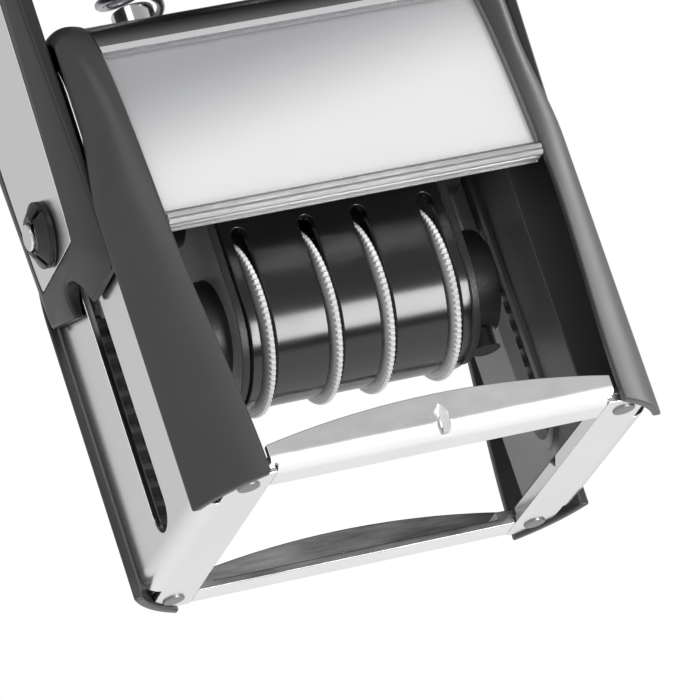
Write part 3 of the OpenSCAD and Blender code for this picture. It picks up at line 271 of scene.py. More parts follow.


# the card fades from painted shade, grey at its upper edge, to white, with a faint paper tooth
cardLook = {"upper": (0.32, 0.32, 0.335), "lower": (0.82, 0.82, 0.825), "fadeFrom": 0.0745, "fadeTo": 0.054,
            "lean": -0.2, "rough": 0.55, "gloss": (0.48, 0.62), "tooth": 3500.0, "toothDetail": 3.0,
            "bump": 0.06, "bumpHeight": 0.00005}


def cardFinish():
    c = cardLook
    finish, tree, shader = startFinish("windowCard", c["lower"], c["rough"])
    coords = tree.nodes.new("ShaderNodeTexCoord")
    height = tree.nodes.new("ShaderNodeVectorMath")
    height.operation = "DOT_PRODUCT"
    height.inputs[1].default_value = (c["lean"], 0, 1)
    tree.links.new(coords.outputs["Object"], height.inputs[0])
    # painted shade: the colour turns grey toward the upper edge
    fade = spread(tree, height.outputs["Value"], 0.0, 1.0, c["fadeTo"], c["fadeFrom"])
    ramp = tree.nodes.new("ShaderNodeValToRGB")
    ramp.color_ramp.interpolation = "EASE"
    ramp.color_ramp.elements[0].color = (*c["lower"], 1)
    ramp.color_ramp.elements[1].color = (*c["upper"], 1)
    tree.links.new(fade, ramp.inputs["Fac"])
    coloured(tree, shader, ramp.outputs["Color"])
    tooth = speckle(tree, coords.outputs["Object"], c["tooth"], c["toothDetail"])
    glossed(tree, shader, tooth, c["gloss"])
    raised(tree, shader, tooth, c["bump"], c["bumpHeight"])
    return finish


# clear window plastic: see-through, glossy, with the faintest haze
paneLook = {"colour": (0.95, 0.96, 0.97), "alpha": 0.07, "gloss": (0.03, 0.07), "haze": 90.0, "hazeDetail": 4.0,
            "dull": 0.97, "shine": 0.9}


def paneFinish():
    p = paneLook
    finish, tree, shader = startFinish("clearPane", p["colour"], p["gloss"][0])
    haze = speckle(tree, stretched(tree), p["haze"], p["hazeDetail"])
    glossed(tree, shader, haze, p["gloss"])
    coloured(tree, shader, varied(tree, haze, p["colour"], p["dull"], 1.0))
    shader.inputs["Alpha"].default_value = p["alpha"]
    shader.inputs["Specular IOR Level"].default_value = p["shine"]
    finish.surface_render_method = "BLENDED"
    return finish


# the thick bead of the window: clear, and it bends the light
beadLook = {"colour": (0.93, 0.94, 0.95), "gloss": (0.02, 0.05), "through": 0.68, "haze": 140.0,
            "hazeDetail": 3.0, "dull": 0.96, "bend": 1.49}


def beadFinish():
    b = beadLook
    finish, tree, shader = startFinish("clearBead", b["colour"], b["gloss"][0])
    haze = speckle(tree, stretched(tree), b["haze"], b["hazeDetail"])
    glossed(tree, shader, haze, b["gloss"])
    coloured(tree, shader, varied(tree, haze, b["colour"], b["dull"], 1.0))
    shader.inputs["Transmission Weight"].default_value = b["through"]
    shader.inputs["IOR"].default_value = b["bend"]
    return finish


# inked felt: matted fibres soaked dark
feltLook = {"colour": (0.022, 0.026, 0.07), "fibre": 2600.0, "fibreAlong": (1, 1.6, 1), "fibreDetail": 6.0,
            "fibreRough": 0.7, "soak": 120.0, "soakDetail": 4.0, "darkest": 0.6, "lightest": 1.5, "rough": 0.9,
            "gloss": (0.78, 0.95), "bump": 0.6, "bumpHeight": 0.0002, "sheen": 0.25}


def feltFinish():
    f = feltLook
    finish, tree, shader = startFinish("inkedFelt", f["colour"], f["rough"])
    fibres = speckle(tree, stretched(tree, f["fibreAlong"]), f["fibre"], f["fibreDetail"], f["fibreRough"])
    soak = speckle(tree, stretched(tree), f["soak"], f["soakDetail"])
    coloured(tree, shader, varied(tree, soak, f["colour"], f["darkest"], f["lightest"]))
    glossed(tree, shader, fibres, f["gloss"])
    raised(tree, shader, fibres, f["bump"], f["bumpHeight"])
    shader.inputs["Sheen Weight"].default_value = f["sheen"]
    return finish


# the carriage is dark, and its faces turned sideways, the cheeks, carry painted light: a light grained grey
carriageLook = {"dark": (0.018, 0.018, 0.019), "cheek": (0.82, 0.82, 0.825), "cheekFrom": 0.8, "cheekTo": 1.0,
                "gloss": (0.36, 0.5), "grain": 2400.0, "grainDetail": 2.0, "bump": 0.3, "bumpHeight": 0.0001}


def carriageFinish():
    c = carriageLook
    finish, tree, shader = startFinish("carriagePlastic", c["dark"], c["gloss"][0])
    facing = tree.nodes.new("ShaderNodeNewGeometry")
    split = tree.nodes.new("ShaderNodeSeparateXYZ")
    tree.links.new(facing.outputs["Normal"], split.inputs["Vector"])
    sideLitMask = tree.nodes.new("ShaderNodeMath")
    sideLitMask.operation = "ABSOLUTE"
    tree.links.new(split.outputs["X"], sideLitMask.inputs[0])
    grain = speckle(tree, stretched(tree), c["grain"], c["grainDetail"])
    # faces turned to the sides get painted light, a light grey on the cheeks
    share = spread(tree, sideLitMask.outputs[0], 0.0, 1.0, c["cheekFrom"], c["cheekTo"])
    coloured(tree, shader, tinted(tree, share, c["dark"], c["cheek"]))
    glossed(tree, shader, grain, c["gloss"])
    raised(tree, shader, grain, c["bump"], c["bumpHeight"])
    return finish


# the liner walls turn lighter toward the rear: painted light, as if lit through the rear opening
linerLook = {"dark": (0.050, 0.050, 0.053), "rear": (0.32, 0.32, 0.325), "turnFrom": -0.004, "turnTo": 0.001,
             "gloss": (0.30, 0.44), "grain": 2800.0, "grainDetail": 2.0, "bump": 0.25, "bumpHeight": 0.0001}


def linerFinish():
    w = linerLook
    finish, tree, shader = startFinish("linerWall", w["dark"], w["gloss"][0])
    even = stretched(tree)
    split = tree.nodes.new("ShaderNodeSeparateXYZ")
    tree.links.new(even, split.inputs["Vector"])
    grain = speckle(tree, even, w["grain"], w["grainDetail"])
    # painted light: the rear part of each wall is coloured lighter
    share = spread(tree, split.outputs["Y"], 0.0, 1.0, w["turnFrom"], w["turnTo"])
    coloured(tree, shader, tinted(tree, share, w["dark"], w["rear"]))
    glossed(tree, shader, grain, w["gloss"])
    raised(tree, shader, grain, w["bump"], w["bumpHeight"])
    return finish


finishes["linerWall"] = linerFinish()
finishes["carriagePlastic"] = carriageFinish()
finishes["windowCard"] = cardFinish()
finishes["clearPane"] = paneFinish()
finishes["clearBead"] = beadFinish()
finishes["inkedFelt"] = feltFinish()
print("finishes made:", len(finishes))


# mesh helpers: points are given in millimetres in the CAD frame
toMetres = 0.001
cadJoin = {"within": 2e-6, "flat": 0.6, "sharp": 35}  # metres and degrees, for copies of CAD solids


def meshFrom(name, points, faces):
    shape = bmesh.new()
    corners = [shape.verts.new(Vector(p) * toMetres) for p in points]
    for face in faces:
        shape.faces.new([corners[i] for i in face])
    bmesh.ops.recalc_face_normals(shape, faces=shape.faces)
    mesh = bpy.data.meshes.new(name)
    shape.to_mesh(mesh)
    shape.free()
    return mesh


def dressed(name, mesh, finish, standsFor, edge=0.0, steps=2, sharp=40):
    piece = bpy.data.objects.new(name, mesh)
    bpy.context.scene.collection.objects.link(piece)
    mesh.materials.clear()
    mesh.materials.append(finishes[finish])
    mesh.shade_smooth()
    if edge:
        bevel = piece.modifiers.new("roundedEdges", "BEVEL")
        bevel.width = edge * toMetres
        bevel.segments = steps
        bevel.limit_method = "ANGLE"
        bevel.angle_limit = math.radians(sharp)
        bevel.use_clamp_overlap = False
        weights = piece.modifiers.new("faceWeights", "WEIGHTED_NORMAL")
        weights.keep_sharp = True
    else:
        mesh.set_sharp_from_angle(angle=math.radians(sharp))
    node = standsFor[0]
    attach(piece, nodes[node]["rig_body"])
    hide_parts(*standsFor)
    return piece


def built(name, shape, finish, standsFor, **edges):  # a dressed piece straight from points and faces
    return dressed(name, meshFrom(name, *shape), finish, standsFor, **edges)


def loftFaces(rowCount, loop):  # rings of equal length, joined in order
    return [(r * loop + k, r * loop + (k + 1) % loop, (r + 1) * loop + (k + 1) % loop, (r + 1) * loop + k)
            for r in range(rowCount - 1) for k in range(loop)]


def shellLoft(rows):  # each ring runs out along one skin and back along the other, so its ends close with quads
    loop = len(rows[0])
    points = [p for row in rows for p in row]
    faces = loftFaces(len(rows), loop)
    last = (len(rows) - 1) * loop
    for k in range(loop // 2 - 1):
        faces.append((k, k + 1, loop - 2 - k, loop - 1 - k))
        faces.append((last + k, last + k + 1, last + loop - 2 - k, last + loop - 1 - k))
    return points, faces


def turned(rings, count, place):  # rings of (along, radius) round an axis; place puts a ring point into the frame
    points, faces = [], loftFaces(len(rings), count)
    for along, radius in rings:
        for k in range(count):
            angle = 2 * math.pi * k / count
            size = radius(angle) if callable(radius) else radius
            points.append(place(along, size * math.cos(angle), size * math.sin(angle)))
    faces.append(tuple(range(count)))
    faces.append(tuple(range((len(rings) - 1) * count, len(rings) * count)))
    return points, faces


def turnedSet(rings, count, spots, place):  # one turned shape at several spots, in one mesh
    points, faces = [], []
    for spot in spots:
        some, more = turned(rings, count, lambda along, a, b: place(spot, along, a, b))
        faces += [tuple(i + len(points) for i in face) for face in more]
        points += some
    return points, faces


def punched(mesh, cutterMesh):  # the mesh less the cutter
    cutter = bpy.data.objects.new("cutter", cutterMesh)
    blank = bpy.data.objects.new("blank", mesh)
    for item in (cutter, blank):
        bpy.context.scene.collection.objects.link(item)
    cut = blank.modifiers.new("cut", "BOOLEAN")
    cut.operation = "DIFFERENCE"
    cut.object = cutter
    mesh = bpy.data.meshes.new_from_object(blank.evaluated_get(bpy.context.evaluated_depsgraph_get()))
    for item in (cutter, blank):
        bpy.data.objects.remove(item)
    return mesh


def cadCopy(node, name):  # the CAD solid with its flat faces joined up
    shape = bmesh.new()
    shape.from_mesh(nodes[node].data)
    bmesh.ops.remove_doubles(shape, verts=shape.verts, dist=cadJoin["within"])
    bmesh.ops.dissolve_limit(shape, angle_limit=math.radians(cadJoin["flat"]), verts=shape.verts,
                             edges=shape.edges)
    bmesh.ops.recalc_face_normals(shape, faces=shape.faces)
    shape.verts.index_update()
    mesh = bpy.data.meshes.new(name)
    mesh.from_pydata([v.co[:] for v in shape.verts], [], [[v.index for v in f.verts] for f in shape.faces])
    shape.free()
    return mesh


def eased(t):  # a smooth step from 0 to 1
    t = max(0.0, min(1.0, t))
    return t * t * (3 - 2 * t)


# outline of the covers in Y and Z, from 0 at the foot to 1 at the top of the arch
bodyOutline = {"footHalf": 29.5, "top": 82.0, "power": 8, "spacing": 3}  # spacing crowds the steps to the top


def outlinePoint(s):
    b = bodyOutline
    half = b["footHalf"] * (1 - s) ** (b["spacing"] / b["power"])
    return Vector((half, b["top"] * (1 - (1 - s) ** b["spacing"])))


def outlineNormal(s):
    b = bodyOutline
    outward = b["power"] * b["top"] * (1 - s) ** (b["spacing"] - b["spacing"] / b["power"])
    return Vector((outward, b["footHalf"])).normalized()


def underOutline(s, depth):
    return outlinePoint(s) - depth * outlineNormal(s)


def stationAt(z):
    return 1 - (1 - z / bodyOutline["top"]) ** (1 / bodyOutline["spacing"])


def sheetRing(half, outer, inner):  # one row of a sheet that runs straight across in X
    return [(-half, *outer), (half, *outer), (half, *inner), (-half, *inner)]


def coverRows(zLow, zHigh, count, half, outer, inner, sideY):  # a sheet along the outline between two heights
    rows = []
    low, high = stationAt(zLow), stationAt(zHigh)
    for i in range(count + 1):
        s = low + (high - low) * i / count
        a, b = underOutline(s, outer(s)), underOutline(s, inner(s))
        rows.append(sheetRing(half, (sideY * a[0], a[1]), (sideY * b[0], b[1])))
    return rows


# corner trims
trimShape = {"coverEdge": 31.2, "footEdge": 29.0, "footHigh": 42.8, "sideEdge": 39.0, "archEdge": 37.2,
             "edgeHalf": 18.3, "thickness": 1.5, "crown": 1.6, "hollow": 4.4, "crownBy": 0.6, "knee": 0.7,
             "kneeIn": 0.6, "turnFrom": 48.0, "turnOver": 18.0, "sink": 1.8, "leastY": 0.1, "rows": 96,
             "across": 22, "edge": 0.35, "edgeSteps": 3, "sharp": 50}


def trimRing(s):
    t = trimShape
    z = outlinePoint(s)[1]
    edgeX = t["sideEdge"] + (t["archEdge"] - t["sideEdge"]) * eased((z - t["turnFrom"]) / t["turnOver"])
    crown = -t["hollow"] + (t["hollow"] + t["crown"]) * eased(s / t["crownBy"])
    coverX = t["coverEdge"] - (t["coverEdge"] - t["footEdge"]) * (1 - eased(z / t["footHigh"]))
    kneeX = coverX + t["knee"] * (edgeX - coverX)
    sunk = underOutline(s, t["sink"])
    edgeYZ = Vector((min(t["edgeHalf"], sunk[0]), sunk[1]))

    def skin(depth):
        a = Vector((coverX, *underOutline(s, depth)))
        b = Vector((kneeX - t["kneeIn"] * depth, *underOutline(s, depth - crown)))
        c = Vector((edgeX - depth, *edgeYZ))
        for i in range(t["across"] + 1):
            u = i / t["across"]
            p = (1 - u) ** 2 * a + 2 * u * (1 - u) * b + u * u * c
            yield (p[0], max(p[1], t["leastY"]), max(p[2], 0.0))
    return list(skin(0.0)) + list(skin(t["thickness"]))[::-1]


def cornerTrims():
    t = trimShape
    points, faces = shellLoft([trimRing(i / t["rows"]) for i in range(t["rows"] + 1)])
    for node, sideX, sideY in (("corner_trim_front_left", -1, -1), ("corner_trim_front_right", 1, -1),
                               ("corner_trim_rear_left", -1, 1), ("corner_trim_rear_right", 1, 1)):
        mesh = meshFrom(node, [(sideX * x, sideY * y, z) for x, y, z in points], faces)
        dressed(node.replace("corner_", ""), mesh, "trimPlastic", [node], t["edge"], t["edgeSteps"], t["sharp"])


cornerTrims()
print("corner trims done")


# front window: a curved clear pane, a ribbed bead along its foot and the card behind it
windowShape = {"low": 42.8, "high": 74.0, "half": 31.1, "depth": 0.2, "thickness": 1.6, "beadHigh": 44.7,
               "beadGap": 0.25, "rimFrom": 73.0, "rimSink": 0.25, "rows": 72, "edge": 0.2, "sharp": 14}
beadShape = {  # section: how far behind the front, and how far below the top or above the foot
    "belowTop": ((0.5, 0.0), (0.1, 0.3), (0.0, 0.6), (0.05, 0.95), (0.7, 1.1), (0.05, 1.25)),
    "aboveFoot": ((0.1, 0.35), (0.45, 0.0), (1.1, 0.0), (1.25, 0.25), (1.55, 0.25), (1.7, 0.0),
                  (2.5, 0.0), (2.65, 0.2), (2.95, 0.2), (3.1, 0.0), (3.75, 0.0), (4.0, 0.25)),
    "belowBack": ((4.0, 0.2), (3.8, 0.0)),
    "edge": 0.06, "sharp": 20}
cardShape = {"half": 31.0, "low": 45.8, "high": 75.0, "gap": 0.1, "thickness": 0.4, "rows": 60}


def windowPane():
    w = windowShape

    def face(s):  # the upper rim is bevelled back
        past = max(0.0, (outlinePoint(s)[1] - w["rimFrom"]) / (w["high"] - w["rimFrom"]))
        return w["depth"] + w["rimSink"] * past
    rows = coverRows(w["beadHigh"] + w["beadGap"], w["high"], w["rows"], w["half"], face,
                     lambda s: w["depth"] + w["thickness"], -1)
    built("window_pane", shellLoft(rows), "clearPane", ["front_window"], edge=w["edge"], sharp=w["sharp"])


def windowBead():
    w, b = windowShape, beadShape
    front = outlinePoint(stationAt(w["low"]))[0]
    profile = [(front - y, w["beadHigh"] - z) for y, z in b["belowTop"]]
    profile += [(front - y, w["low"] + z) for y, z in b["aboveFoot"]]
    profile += [(front - y, w["beadHigh"] - z) for y, z in b["belowBack"]]
    points = [(x, -y, z) for x in (-w["half"], w["half"]) for y, z in profile]
    count = len(profile)
    faces = loftFaces(2, count) + [tuple(range(count)), tuple(range(count, 2 * count))]
    built("window_bead", (points, faces), "clearBead", ["front_window"], edge=b["edge"], sharp=b["sharp"])


def imprintCard():
    c = cardShape
    behind = windowShape["depth"] + windowShape["thickness"] + c["gap"]
    rows = coverRows(c["low"], c["high"], c["rows"], c["half"], lambda s: behind,
                     lambda s: behind + c["thickness"], -1)
    built("imprint_card_sheet", shellLoft(rows), "windowCard", ["imprint_card"])


windowPane()
windowBead()
imprintCard()
print("window done")


# top cover with a hole for each spring and a lip strip along its front edge, coloured pale as a painted
# highlight, and the cover at the rear
coverShape = {"half": 31.1, "depth": 0.2, "thickness": 1.2, "seam": 74.2, "rows": 48, "springX": 16.0,
              "holeRadius": 6.35, "holeSides": 64, "drillLong": 30.0, "drillZ": 81.0}
lipShape = {"high": 1.2, "gap": 0.05, "outer": 0.14, "inner": 0.02, "rows": 8}
rearShape = {"low": 53.4, "high": 67.6, "rows": 40, "edge": 0.2}


def springHole(x):
    c = coverShape
    radius = c["holeRadius"] * toMetres
    middle = (x * toMetres, 0, c["drillZ"] * toMetres)
    drill = bmesh.new()
    bmesh.ops.create_cone(drill, cap_ends=True, segments=c["holeSides"], radius1=radius, radius2=radius,
                          depth=c["drillLong"] * toMetres, matrix=Matrix.Translation(middle))
    hole = bpy.data.meshes.new("springHole")
    drill.to_mesh(hole)
    drill.free()
    return hole


def topCover():
    c = coverShape
    rows = []
    start = stationAt(c["seam"])
    for i in range(-c["rows"], c["rows"] + 1):
        s = start + (1 - start) * (1 - abs(i) / c["rows"])
        a, b = underOutline(s, c["depth"]), underOutline(s, c["depth"] + c["thickness"])
        side = -1 if i < 0 else 1
        rows.append(sheetRing(c["half"], (side * a[0], a[1]), (side * b[0], b[1])))
    mesh = meshFrom("top_cover_shell", *shellLoft(rows))
    for side in (-1, 1):
        mesh = punched(mesh, springHole(side * c["springX"]))
    dressed("top_cover_shell", mesh, "coverMetal", ["top_cover"])


def topCoverLip():
    c, p = coverShape, lipShape
    rows = coverRows(c["seam"] + p["gap"], c["seam"] + p["high"], p["rows"], c["half"],
                     lambda s: c["depth"] - p["outer"], lambda s: c["depth"] - p["inner"], -1)
    # the lip's pale colour is a painted highlight
    built("top_cover_lip", shellLoft(rows), "lipPaintedHighlight", ["top_cover"])


def rearCover():
    c, r = coverShape, rearShape
    rows = coverRows(r["low"], r["high"], r["rows"], c["half"], lambda s: c["depth"],
                     lambda s: c["depth"] + c["thickness"], 1)
    built("rear_cover_sheet", shellLoft(rows), "rearPaint", ["rear_cover"], edge=r["edge"])


topCover()
topCoverLip()
rearCover()
print("covers done")


# setting wheels: thin discs with a beaded rim, and the hub that drives the band
wheelShape = {"axisZ": 33.7, "teeth": 90, "perTooth": 8, "toothDepth": 0.6, "toothPower": 1.4, "half": 0.6,
              "radius": 13.98, "flatIn": 1.0, "turnIn": 0.7, "turnAt": 0.92, "crownIn": 0.06, "crownAt": 0.6,
              "hubRadius": 7.4, "hubLong": 5.0, "bore": 1.55, "sharp": 50,
              "places": ((-15.6, 1), (-4.4, -1), (4.4, 1), (15.6, -1))}


def beadedRim(radius):  # the rim dips between its teeth
    w = wheelShape

    def reach(angle):
        between = abs(2 * ((angle * w["teeth"] / (2 * math.pi)) % 1) - 1)
        return radius - w["toothDepth"] * between ** w["toothPower"]
    return reach


def settingWheels():
    w = wheelShape
    count = w["teeth"] * w["perTooth"]
    half, rim = w["half"], w["radius"]
    flat, turn, crown = rim - w["flatIn"], rim - w["turnIn"], beadedRim(rim - w["crownIn"])
    rings = [(-half, w["bore"]), (-half, w["hubRadius"]), (-half, flat), (-half * w["turnAt"], turn),
             (-half * w["crownAt"], crown), (0.0, beadedRim(rim)), (half * w["crownAt"], crown),
             (half * w["turnAt"], turn), (half, flat), (half, w["hubRadius"]),
             (w["hubLong"], w["hubRadius"]), (w["hubLong"], w["bore"])]
    for index, (x, side) in enumerate(w["places"], 1):
        points, faces = turned(rings, count, lambda along, a, b: (x + side * along, a, w["axisZ"] + b))
        faces = faces[:-2]  # the bore stays open: first and last ring are joined instead
        last = (len(rings) - 1) * count
        faces += [(k, (k + 1) % count, last + (k + 1) % count, last + k) for k in range(count)]
        name = "setting_wheel_%d" % index
        mesh = meshFrom(name, points, faces)
        dressed("wheel_%d_disc" % index, mesh, "wheelPlastic", [name], sharp=w["sharp"])


settingWheels()
print("setting wheels done")


# return springs: one round wire, its ends upright on their seats
springShape = {"x": 16.0, "low": 77.7, "high": 145.9, "radius": 4.7, "wire": 1.3, "curls": 11, "perCurl": 28,
               "sides": 12, "sharp": 60}


def springPath():  # the middle of the wire, around the Z axis
    p = springShape
    rise = 2 * p["wire"]
    climb = p["high"] - p["low"] - 2 * rise
    count = p["curls"] * p["perCurl"]
    path = [Vector((p["radius"], 0, p["low"])), Vector((p["radius"], 0, p["low"] + p["wire"]))]
    for i in range(1, count):
        t = i / count
        a = 2 * math.pi * p["curls"] * t
        z = p["low"] + rise + t * climb
        path.append(Vector((p["radius"] * math.cos(a), p["radius"] * math.sin(a), z)))
    return path + [Vector((p["radius"], 0, p["high"] - p["wire"])), Vector((p["radius"], 0, p["high"]))]


def returnSprings():
    p = springShape
    path = springPath()
    loop = p["sides"]
    points = []
    for i, at in enumerate(path):
        way = Vector((0, 0, 1)) if i in (0, len(path) - 1) else (path[i + 1] - path[i - 1]).normalized()
        out = Vector((at.x, at.y, 0)).normalized()
        side = way.cross(out).normalized()
        up = side.cross(way)
        for k in range(loop):
            a = 2 * math.pi * k / loop
            points.append(at + p["wire"] / 2 * (math.cos(a) * up + math.sin(a) * side))
    faces = loftFaces(len(path), loop)
    faces += [tuple(range(loop)), tuple(range((len(path) - 1) * loop, len(path) * loop))]
    for node, side in (("return_spring_left", -1), ("return_spring_right", 1)):
        mesh = meshFrom(node, [(side * (q.x + p["x"]), q.y, q.z) for q in points], faces)
        name = node.replace("return_", "") + "_wire"
        spring = dressed(name, mesh, "springWire", [node], sharp=p["sharp"])
        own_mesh(spring)


returnSprings()
print("springs done")


# handle: a hollow shell with a rounded back, a ribbed soft grip over it, and pins and lugs under its ceiling
handleShape = {"half": 21.0, "top": 152.0, "eave": 132.0, "low": 124.4, "fall": 3.6, "endX": 37.5, "round": 0.6,
               "wall": 2.6, "rows": 24, "around": 64, "edge": 0.4, "edgeSteps": 3, "sharp": 50}
gripShape = {"thickness": 1.2, "half": 28.0, "low": 130.0, "ribPitch": 2.6, "ribDeep": 0.32, "perRib": 8,
             "plainEnd": 2.0, "fadeOver": 1.5, "gap": 0.05, "around": 48, "edge": 0.25, "sharp": 55}
pinShape = {"x": 16.0, "sides": 40,  # rings of height and radius
            "rings": ((138.0, 2.6), (138.6, 3.4), (146.0, 3.45), (146.05, 6.0), (148.0, 6.0))}
lugShape = {"x": (29.5, 37.4), "y": (-11, 11), "z": (135.0, 146.5), "edge": 0.6, "edgeSteps": 3}


def backPoint(angle, half, rise):
    h = handleShape
    c, s = math.cos(angle), math.sin(angle)
    return Vector((half * math.copysign(abs(c) ** h["round"], c), h["eave"] + rise * abs(s) ** h["round"]))


def topFall(x):
    h = handleShape
    radius = (h["endX"] ** 2 + h["fall"] ** 2) / (2 * h["fall"])
    return radius - math.sqrt(radius * radius - x * x)


def handleRing(x, outer, inner, low, count):
    h = handleShape
    ring = []
    for inset, order in ((outer, 1), (inner, -1)):
        skin = [(x, h["half"] - inset, low)]
        rise = h["top"] - inset - h["eave"] - topFall(x)
        for i in range(count + 1):
            y, z = backPoint(math.pi * i / count, h["half"] - inset, rise)
            skin.append((x, y, z))
        skin.append((x, -(h["half"] - inset), low))
        ring += skin[::order]
    return ring


def handleBack():
    h = handleShape
    outer = gripShape["thickness"]
    rows = [handleRing(h["endX"] * i / h["rows"], outer, outer + h["wall"], h["low"], h["around"])
            for i in range(-h["rows"], h["rows"] + 1)]
    built("handle_shell_back", shellLoft(rows), "bowPlastic", ["handle_shell"],
          edge=h["edge"], steps=h["edgeSteps"], sharp=h["sharp"])


def handleGrip():
    g = gripShape
    rows = []
    steps = int(2 * g["half"] / g["ribPitch"]) * g["perRib"]
    for i in range(steps + 1):
        x = -g["half"] + 2 * g["half"] * i / steps
        fade = eased((g["half"] - abs(x) - g["plainEnd"]) / g["fadeOver"])
        dip = g["ribDeep"] * fade * (0.5 - 0.5 * math.cos(2 * math.pi * x / g["ribPitch"])) ** 2
        rows.append(handleRing(x, dip, g["thickness"] - g["gap"], g["low"], g["around"]))
    built("handle_grip_sleeve", shellLoft(rows), "gripRubber", ["handle_grip"], edge=g["edge"], sharp=g["sharp"])


def handleFittings():
    p, q = pinShape, lugShape
    for name, x in (("spring_pin_left", -p["x"]), ("spring_pin_right", p["x"])):
        shape = turned(p["rings"], p["sides"], lambda along, a, b: (x + a, b, along))
        built(name, shape, "bowPlastic", ["handle_shell"])
    faces = [(0, 1, 3, 2), (4, 6, 7, 5), (0, 4, 5, 1), (2, 3, 7, 6), (0, 2, 6, 4), (1, 5, 7, 3)]
    for name, side in (("screw_lug_left", -1), ("screw_lug_right", 1)):
        box = [(side * x, y, z) for x in q["x"] for y in q["y"] for z in q["z"]]
        built(name, (box, faces), "bowPlastic", ["handle_shell"], edge=q["edge"], steps=q["edgeSteps"])


handleBack()
handleGrip()
handleFittings()
print("handle done")


# fasteners: low rivet heads under the base and socket screws in the arms
rivetShape = {"x": 31.0, "y": 23.4, "sides": 48,  # rings of height and radius
              "rings": ((0.1, 0.99), (0.13, 1.44), (0.22, 1.71), (0.38, 1.8), (0.5, 1.8), (0.5, 1.5),
                        (2.9, 1.5), (2.9, 1.8), (3.2, 1.728), (3.3, 1.44))}
screwShape = {"y": 8.0, "z": 138.0, "sides": 48, "sharp": 35, "socket": 1.5, "socketX": (40.3, 40.95),
              "rings": ((40.98, 1.59), (40.98, 2.4), (40.75, 2.7), (39.8, 2.7), (39.8, 1.5), (31.5, 1.5))}


def socketReach(angle):  # six flats; the size is from the middle to a corner
    sixth = math.pi / 3
    return screwShape["socket"] * math.cos(sixth / 2) / math.cos((angle % sixth) - sixth / 2)


def fasteners():
    r, p = rivetShape, screwShape
    spots = [(x, y) for x in (-r["x"], r["x"]) for y in (-r["y"], r["y"])]
    shape = turnedSet(r["rings"], r["sides"], spots,
                      lambda spot, along, a, b: (spot[0] + a, spot[1] + b, along))
    built("rivet_set", shape, "rivetSteel", ["frame_rivets"])
    rings = [(x, socketReach) for x in p["socketX"]] + list(p["rings"])
    spots = [(side, y) for side in (-1, 1) for y in (-p["y"], p["y"])]
    shape = turnedSet(rings, p["sides"], spots,
                      lambda spot, along, a, b: (spot[0] * along, spot[1] + a, p["z"] + b))
    built("handle_screw_set", shape, "rivetSteel", ["handle_screws"], sharp=p["sharp"])


fasteners()
print("fasteners done")


# inked felt: a pad with soft edges and slightly uneven faces
feltShape = {"halfX": 25.1, "front": -18.6, "rear": 18.7, "low": 68.2, "high": 70.3, "cells": 40, "rim": 0.05,
             "rimSink": 0.35, "faceSink": 0.12, "swell": 0.06, "waveX": (9, 2), "waveY": (-1, 7),
             "backShare": 0.4, "sharp": 60}


def feltSink(u, v):
    f = feltShape
    inside = eased(min(u, 1 - u, v, 1 - v) / f["rim"])
    across = math.sin(f["waveX"][0] * u + f["waveX"][1] * v)
    wave = f["swell"] * across * math.cos(f["waveY"][0] * u + f["waveY"][1] * v)
    return f["rimSink"] * (1 - inside) + (f["faceSink"] - wave) * inside


def inkFelt():
    f = feltShape
    n = f["cells"]
    points, faces = [], []
    for z, inward in ((f["low"], 1), (f["high"], -f["backShare"])):
        for i in range(n + 1):
            for j in range(n + 1):
                u, v = i / n, j / n
                x = -f["halfX"] + 2 * f["halfX"] * u
                y = f["front"] + (f["rear"] - f["front"]) * v
                points.append((x, y, z + inward * feltSink(u, v)))
    side = n + 1
    layer = side * side
    for at in (0, layer):
        faces += [(at + i * side + j, at + (i + 1) * side + j, at + (i + 1) * side + j + 1, at + i * side + j + 1)
                  for i in range(n) for j in range(n)]
    rim = [i * side for i in range(n)] + [n * side + j for j in range(n)]
    rim += [i * side + n for i in range(n, 0, -1)] + list(range(n, 0, -1))
    faces += [(a, b, b + layer, a + layer) for a, b in zip(rim, rim[1:] + rim[:1])]
    felt = built("ink_felt_pad", (points, faces), "inkedFelt", ["ink_felt"], sharp=f["sharp"])


inkFelt()
print("felt done")


# rails: the CAD rail with the pinched notch pressed deeper
railShape = {"half": 2.6, "face": 30.0, "deepLow": 26.7, "deepHigh": 27.6, "low": 0.9, "high": 4.3, "tip": 6.0,
             "tipIn": 0.9, "edge": 0.2}


def frameRails():
    r = railShape
    notch = [(-r["half"], r["face"], r["low"]), (r["half"], r["face"], r["low"]), (0, r["deepLow"], r["low"]),
             (-r["half"], r["face"], r["high"]), (r["half"], r["face"], r["high"]), (0, r["deepHigh"], r["high"]),
             (0, r["face"] - r["tipIn"], r["tip"])]
    faces = [(0, 1, 2), (0, 3, 5, 2), (1, 2, 5, 4), (0, 1, 4, 3), (3, 4, 6), (3, 6, 5), (4, 5, 6)]
    for node, side in (("front_rail", -1), ("rear_rail", 1)):
        pinch = meshFrom("pinch", [(x, side * y, z) for x, y, z in notch], faces)
        mesh = punched(cadCopy(node, node), pinch)
        dressed(node + "_bar", mesh, "railChrome", [node], r["edge"], sharp=cadJoin["sharp"])


frameRails()
print("rails done")


